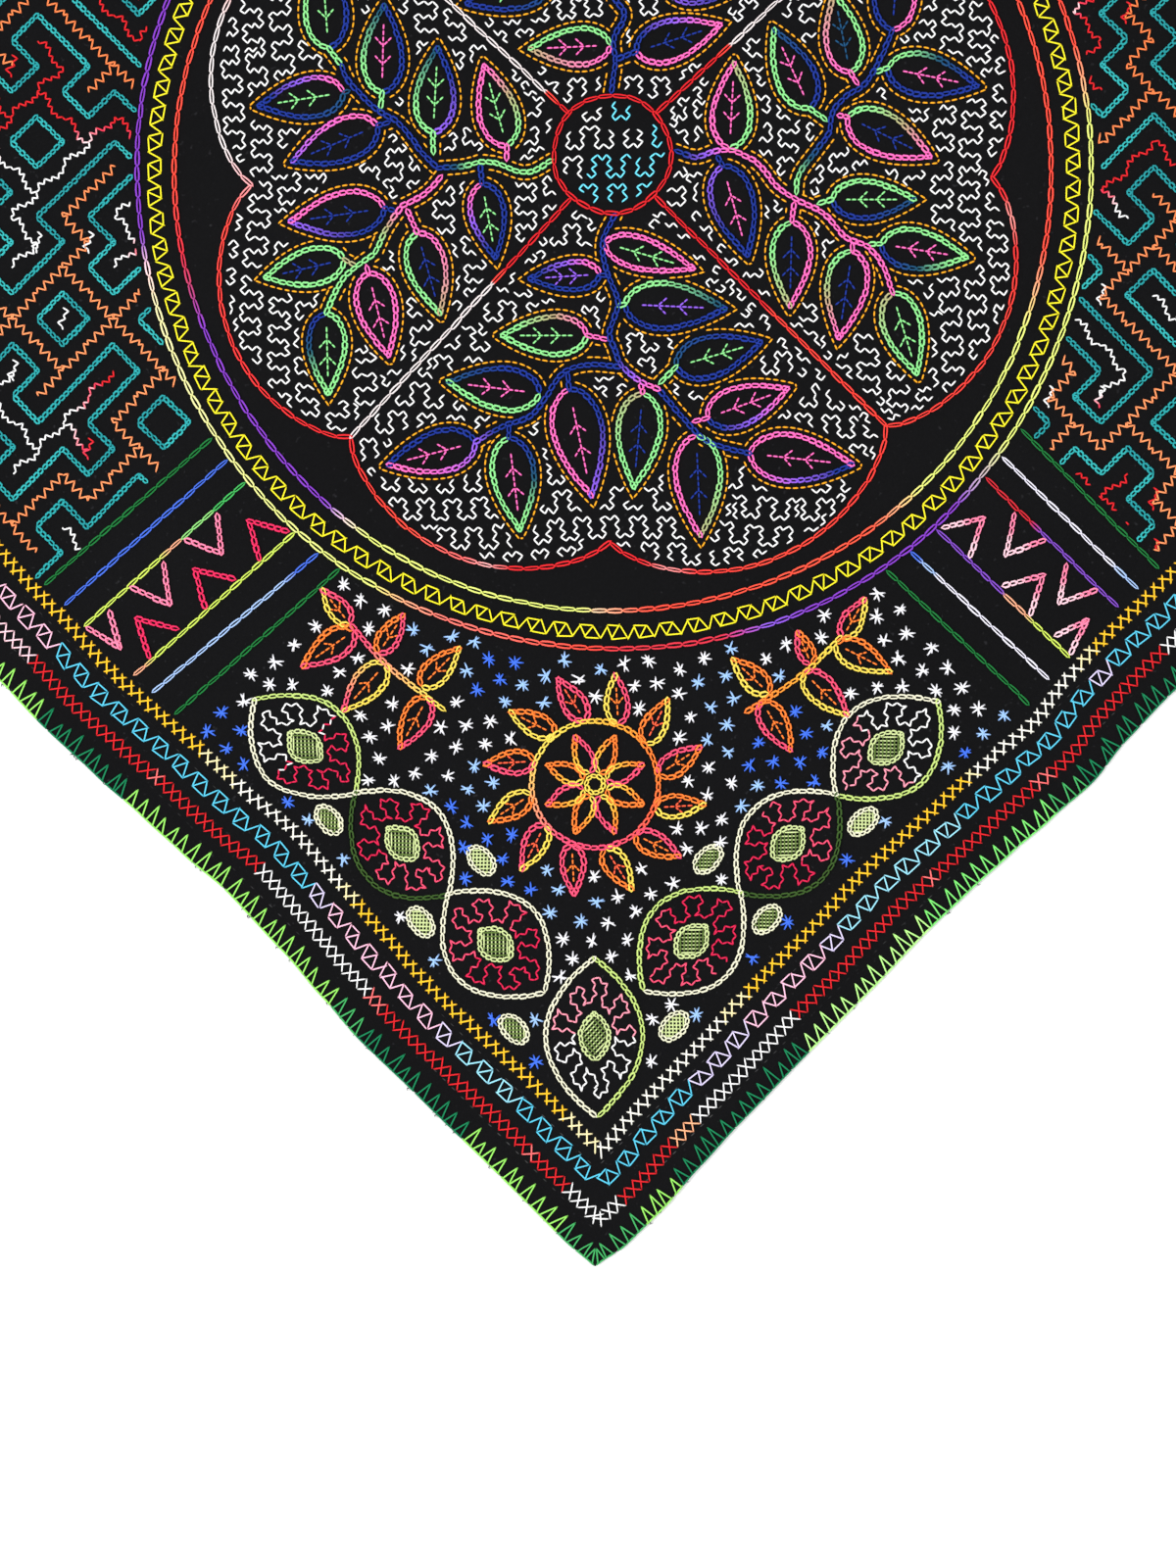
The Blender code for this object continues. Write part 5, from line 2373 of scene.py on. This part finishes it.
def garland_leaves() -> tuple[Leaf, ...]:
    """A wreath of twelve leaves round an eight-petalled flower, and the two side sprigs."""
    rows = []
    middle = np.array(WREATH)
    dyes = (
        ("rose", "orange"), ("orange", "yellow"), ("yellow", "rose"), ("rose", "rose"),
        ("yellow", "orange"),
    )
    for step in range(12):
        angle = math.radians(step * 30.0 + 9.0)
        out = np.array([math.cos(angle), math.sin(angle)])
        lean = np.array([math.cos(angle + 0.42), math.sin(angle + 0.42)])
        base, tip = middle + out * 29.0, middle + out * 29.0 + lean * 22.0
        rows.append(leaf((*base, *tip), *dyes[step % 5], "coral" if step % 2 else "orange"))
    for step in range(8):
        angle = math.radians(step * 45.0 + 22.5)
        out = np.array([math.cos(angle), math.sin(angle)])
        base, tip = middle + out * 5.5, middle + out * 23.0
        rows.append(leaf((*base, *tip), "yellow>orange", "orange" if step % 2 else "rose", ""))
    for row, left, right in (
        ((-75, -238, -88, -261), "rose", "orange"), ((-78, -233, -61, -216), "orange", "yellow"),
        ((-94, -223, -113, -244), "yellow", "yellow>rose"), ((-97, -218, -86, -201), "orange", "rose"),
        ((-108, -208, -131, -224), "rose", "orange"), ((-110, -205, -122, -190), "yellow", "rose"),
        ((75, -240, 88, -262), "orange", "rose"), ((78, -236, 62, -221), "yellow", "orange"),
        ((94, -227, 113, -246), "rose", "yellow"), ((97, -223, 91, -209), "rose", "orange"),
        ((108, -214, 132, -226), "orange", "yellow"), ((111, -211, 121, -194), "rose", "yellow"),
    ):
        rows.append(leaf(row, left, right, "orange"))
    return tuple(rows)


@dataclass
class Panel:
    """A corner's panel: a row of lozenges by each border, a flower in its wreath, and stars."""

    rings: Rings
    turned_over: bool = False
    link: float = 3.4 * MM
    small_link: float = 2.6 * MM
    eye: float = 0.30
    netted: float = 0.27
    net_lift: float = 0.3 * MM
    net_half: tuple[float, float] = (7.4 * MM, 4.6 * MM)
    course: float = 0.64
    course_check: float = 0.8 * MM
    winding_pitch: float = 12.5 * MM
    star_pitch: float = 10.2 * MM
    rib: Veins = Veins((0.18, 0.78), 0.2, (0.42,), (3.0 * MM, 3.2 * MM))
    lozenges: tuple[Lozenge, ...] = (
        lozenge((0, -390, 90, 35, 22), ("cream", "lime"), ("white", "pink")),
        lozenge((-44, -348, 135, 31, 22.5), ("cream", "cream"), ("crimson", "rose")),
        lozenge((-87.5, -304.5, 135, 31, 22.5), ("olive", "cream"), ("rose", "crimson")),
        lozenge((-131, -261, 135, 31, 22.5), ("cream", "lime"), ("crimson", "white")),
        lozenge((44, -348, 45, 31, 22.5), ("lime", "cream"), ("rose", "crimson")),
        lozenge((87.5, -304.5, 45, 31, 22.5), ("cream", "olive"), ("crimson", "rose")),
        lozenge((131, -261, 45, 31, 22.5), ("cream", "lime"), ("pink", "white")),
    )
    knots: tuple[tuple[float, float, float, str], ...] = (
        (-78, -338.5, 135, "lime"), (-121.5, -295, 135, "olive"), (-36, -386, 135, "olive"),
        (78, -338.5, 45, "olive"), (121.5, -295, 45, "lime"), (36, -386, 45, "lime"),
        (-51, -311, 135, "lime"), (51, -311, 45, "olive"),
    )

    def place(self, points: np.ndarray) -> np.ndarray:
        """Moves points from the near panel in the view's axes to this panel on the cloth."""
        points = np.asarray(points, float)
        return from_diagonal(-points if self.turned_over else points)

    def inside(self, points: np.ndarray, margin: float) -> np.ndarray:
        """Which places lie between the ring, the bars and the borders."""
        spots = self.place(points)
        x, y = (-spots if self.turned_over else spots).T
        middle = from_diagonal(self.rings.middle)
        out = np.hypot(*(spots - middle).T) > self.rings.outer + 1.0 * MM + margin
        bars = (38 * MM, 47 * MM) if not self.turned_over else (44 * MM, 44 * MM)
        clear = (x < -bars[0] - margin) & (y < -bars[1] - margin)
        return out & clear & (np.minimum(x, y) > -306.5 * MM + margin)

    def build(self, work: dict[str, Needlework], palettes: dict[str, Palette]) -> None:
        """Works the panel.

        Args:
            work: the threads by their names.
            palettes: the threads' dyes.
        """
        leaves = garland_leaves()
        self.garland(work["leaves"], leaves)
        for one in self.lozenges:
            self.lozenge_outline(work["lines"], palettes["lines"], one)
            self.netted_eye(work["nets"], palettes["nets"], one)
        for x, y, heading, dye in self.knots:
            middle = np.array([x, y]) * MM
            self.net(work["nets"], palettes["nets"], middle, math.radians(heading), dye)
        self.steps(work["fill"], palettes["fill"])
        self.stars(work["stars"], palettes["stars"], leaves)

    def garland(self, work: Needlework, leaves: tuple[Leaf, ...]) -> None:
        """The wreath's ring, the flower's middle, the side stems and all their leaves."""
        middle = np.array(WREATH) * MM
        angles = np.linspace(0.0, 2.0 * math.pi, 61)
        circle = np.column_stack([np.cos(angles), np.sin(angles)])
        ring, core = self.place(middle + circle * 28.5 * MM), self.place(middle + circle * 4.0 * MM)
        work.chain(TIGHT_LINK, ring, self.link, (0.02, 0.98), overlap=0.3)
        work.chain(SMALL_LINK, core, self.small_link, panel_fade("yellow"), overlap=0.3)
        for dye, stem in SIDE_STEMS:
            path = self.place(curved(np.array(stem) * MM))
            work.chain(TIGHT_LINK, path, self.link, panel_fade(dye), overlap=0.3)
        for one in leaves:
            for sign, dye in ((1.0, one.left), (-1.0, one.right)):
                path = self.place(one.side(sign))
                work.chain(TIGHT_LINK, path, self.link, panel_fade(dye), width=1.02, overlap=0.3)
            if one.vein:
                self.rib.work(work, one, panel_fade(one.vein), self.place)

    def lozenge_outline(self, work: Needlework, palette: Palette, one: Lozenge) -> None:
        """The chained line round a lozenge, its two sides in their own dyes."""
        for sign, dye in ((1.0, one.dyes[0]), (-1.0, one.dyes[1])):
            path = self.place(one.side(sign))
            work.chain(TIGHT_LINK, path, 3.6 * MM, palette.pair(dye), width=0.9, overlap=0.28)

    def netted_eye(self, work: Needlework, palette: Palette, one: Lozenge) -> None:
        """The netted shape in a lozenge's middle, ringed with a fine chain."""
        for sign in (1.0, -1.0):
            path = self.place(one.side(sign, self.eye))
            work.chain(SMALL_LINK, path, 2.7 * MM, palette.pair("lime"), overlap=0.3)
        for lean in (math.pi / 4, -math.pi / 4):
            self.hatch(work, one, lean, palette.pair("olive" if lean > 0 else "lime"))

    def hatch(self, work: Needlework, one: Lozenge, lean: float, dye: tuple[float, float]) -> None:
        """One set of the net's straight threads across a lozenge's middle."""
        half_length, half_width = one.half_length * self.netted, one.half_width * self.netted
        small = replace(one, half_length=half_length, half_width=half_width)
        ahead, across = heading_axes(one.heading + lean)
        for shift in np.arange(-12.0, 12.1, 1.7) * MM:
            course = across * shift + np.outer(np.linspace(-16.0, 16.0, 65) * MM, ahead) + one.middle
            within = course[small.within(course, 0.0)]
            if len(within) > 3:
                ends = self.place(within[[0, -1]])
                work.work(RAY, tuple(ends[0]), tuple(ends[1]), dye, lift=self.net_lift * (lean > 0))

    def net(
        self,
        work: Needlework,
        palette: Palette,
        middle: np.ndarray,
        heading: float,
        dye: str,
    ) -> None:
        """A small netted oval.

        Args:
            work: the thread.
            palette: its dyes.
            middle: the oval's middle in the view's axes.
            heading: the way it points.
            dye: the net's dye.
        """
        angles = np.linspace(0.0, 2.0 * math.pi, 33)
        ring = np.column_stack([np.cos(angles), np.sin(angles)]) * self.net_half
        path = self.place(middle + turned(ring, heading))
        work.chain(SMALL_LINK, path, self.small_link, palette.pair("cream"), overlap=0.3)
        for lean in (0.8, -0.8):
            ahead, across = heading_axes(lean)
            for shift in np.arange(-6.0, 6.1, 1.6) * MM:
                course = across * shift + np.outer(np.linspace(-9.0, 9.0, 41) * MM, ahead)
                kept = course[((course / self.net_half) ** 2).sum(axis=1) < 0.8]
                if len(kept) > 3:
                    ends = self.place(middle + turned(kept[[0, -1]], heading))
                    tone = palette.pair(dye if lean > 0 else "lime")
                    work.work(RAY, tuple(ends[0]), tuple(ends[1]), tone, lift=self.net_lift * (lean > 0))

    def steps(self, work: Needlework, palette: Palette) -> None:
        """A stepped line that winds in and out all the way round each lozenge's eye."""
        for one in self.lozenges:
            corners = self.winding(one)
            ok = one.within(corners, -2.2 * MM)
            ahead = one.local(corners)[:, 0] > 0.0
            places = self.place(corners)
            kept = long_runs(ok[:-1] & ok[1:], 2)
            for here, there, both, half in zip(places, places[1:], kept, ahead):
                if both:
                    work.work(BACK, tuple(here), tuple(there), palette.pair(one.fill[int(half)]))

    def winding(self, one: Lozenge) -> np.ndarray:
        """The corners of the stepped line between a lozenge's eye and its outline."""
        loop = np.vstack([one.side(1.0, self.course), one.side(-1.0, self.course)[::-1]])
        loop = np.array(spaced(loop, self.course_check))
        out = loop - np.array(one.middle)
        out = out / np.hypot(*out.T)[:, None]
        run = np.gradient(loop, axis=0)
        run = run / np.hypot(*run.T)[:, None]
        share = np.linspace(0.0, 1.0, len(loop))
        waves = round(len(loop) * self.course_check / self.winding_pitch)
        phase = 2.0 * math.pi * (share * waves + RNG.random())
        across = 4.6 * np.clip(1.7 * np.sin(phase), -1.0, 1.0) + 0.5 * np.sin(phase * 0.37)
        along = -2.0 * np.sin(phase * 2.0)
        path = loop + (out * across[:, None] + run * along[:, None]) * MM
        corners = np.array(spaced(path, 2.15 * MM))
        step = np.gradient(corners, axis=0)
        step = np.column_stack([-step[:, 1], step[:, 0]]) / np.hypot(*step.T)[:, None]
        side = np.where(np.arange(len(corners)) % 2 == 0, 0.8, -0.8) * MM
        return corners + step * side[:, None] + RNG.normal(0.0, 0.1 * MM, corners.shape)

    def stars(self, work: Needlework, palette: Palette, leaves: tuple[Leaf, ...]) -> None:
        """Small stars of four crossed stitches all over what is left of the ground."""
        ups, rights = np.arange(-425.0, -180.0, 2.0), np.arange(-190.0, 190.0, 2.0)
        grid = np.array([(x, y) for y in ups for x in rights])
        spots = (grid + RNG.uniform(-0.9, 0.9, grid.shape)) * MM
        ok = self.inside(spots, 4.2 * MM)
        for one in self.lozenges:
            ok &= ~one.within(spots, 4.9 * MM)
        lines = [one.side(sign) for one in leaves for sign in (1.0, -1.0)]
        lines.extend(curved(np.array(stem) * MM) for _, stem in SIDE_STEMS)
        ok &= nearest(spots, np.vstack(lines)) > 4.7 * MM
        for one in leaves:
            along, aside = one.local(spots)
            ok &= ~((along > 0.0) & (along < 1.0) & (np.abs(aside) < one.bulge(along)))
        ok &= np.hypot(*(spots - np.array(WREATH) * MM).T) > 33.0 * MM
        for x, y, _, _ in self.knots:
            ok &= np.hypot(*(spots - np.array([x, y]) * MM).T) > 9.5 * MM
        kept = NOWHERE
        for spot in spots[ok]:
            if np.hypot(*(kept - spot).T).min() > self.star_pitch * RNG.uniform(0.95, 1.05):
                self.star(work, palette, spot)
                kept = np.vstack([kept, spot])

    def star(self, work: Needlework, palette: Palette, spot: np.ndarray) -> None:
        """One star, paler towards the ring."""
        x, y = spot / MM
        inset = 350.0 - (abs(x) - y) * math.sqrt(0.5)
        drift = 1.1 * math.sin(x / 21.0 + 0.6) + 0.9 * math.sin(y / 16.0 + x / 45.0)
        drift += min((inset - 60.0) / 14.0, 0.9) + RNG.normal(0.0, 0.3)
        name = "white" if drift > 0.45 else "pale" if drift > -0.45 else "blue"
        first = RNG.uniform(0.0, math.pi)
        for step in range(4):
            angles = first + step * math.pi / 4 + np.array([math.pi, 0.0]) + RNG.normal(0.0, 0.16, 2)
            reach = RNG.uniform(2.4, 3.8, 2) * MM
            if step == 3 and RNG.random() < 0.5:
                reach[0] = 0.6 * MM
            ends = self.place(spot + np.column_stack([np.cos(angles), np.sin(angles)]) * reach[:, None])
            work.work(STAR_RAY, tuple(ends[0]), tuple(ends[1]), palette.pair(name), lift=0.00012 * step)


@dataclass
class Panels:
    """The near corner's panel and the far one, which is the same turned half round."""

    rings: Rings

    def build(self) -> None:
        """Works both panels with their five threads."""
        palettes = {
            "lines": Palette({"cream": rgb(228, 226, 200), "lime": rgb(190, 215, 120), "olive": OLIVE}),
            "nets": Palette({
                "cream": rgb(225, 225, 195), "lime": rgb(200, 215, 150), "olive": rgb(85, 110, 45)}),
            "fill": Palette({
                "white": WHITE, "pink": rgb(245, 150, 170), "rose": rgb(235, 75, 110),
                "crimson": rgb(215, 25, 75)}),
            "stars": Palette({"white": rgb(232, 232, 238), "pale": PALE_BLUE, "blue": MID_BLUE}),
        }
        names = ("leaves", "lines", "nets", "fill", "stars")
        work = {name: Needlework(f"panel_{name}") for name in names}
        for turned_over in (False, True):
            Panel(self.rings, turned_over).build(work, palettes)
        dress(work["leaves"], PANEL_FADES)
        for name, color in (("lines", "white"), ("nets", "green"), ("fill", "red"), ("stars", "teal")):
            dress(work[name], palettes[name].dyes)


def main() -> None:
    """Builds the cloth and its embroidery in order, then the studio."""
    logging.basicConfig(level=logging.INFO, format="%(message)s")
    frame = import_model()
    LOG.info("nodes in the frame: %s", ", ".join(frame["nodes"]))
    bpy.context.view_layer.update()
    ClothSheet().build()
    Border().build()
    rings = Rings()
    rings.build()
    Medallion(rings).build()
    Bars(rings).build()
    Mazes(rings).build()
    Panels(rings).build()
    Studio().build()


if __name__ == "__main__":
    main()
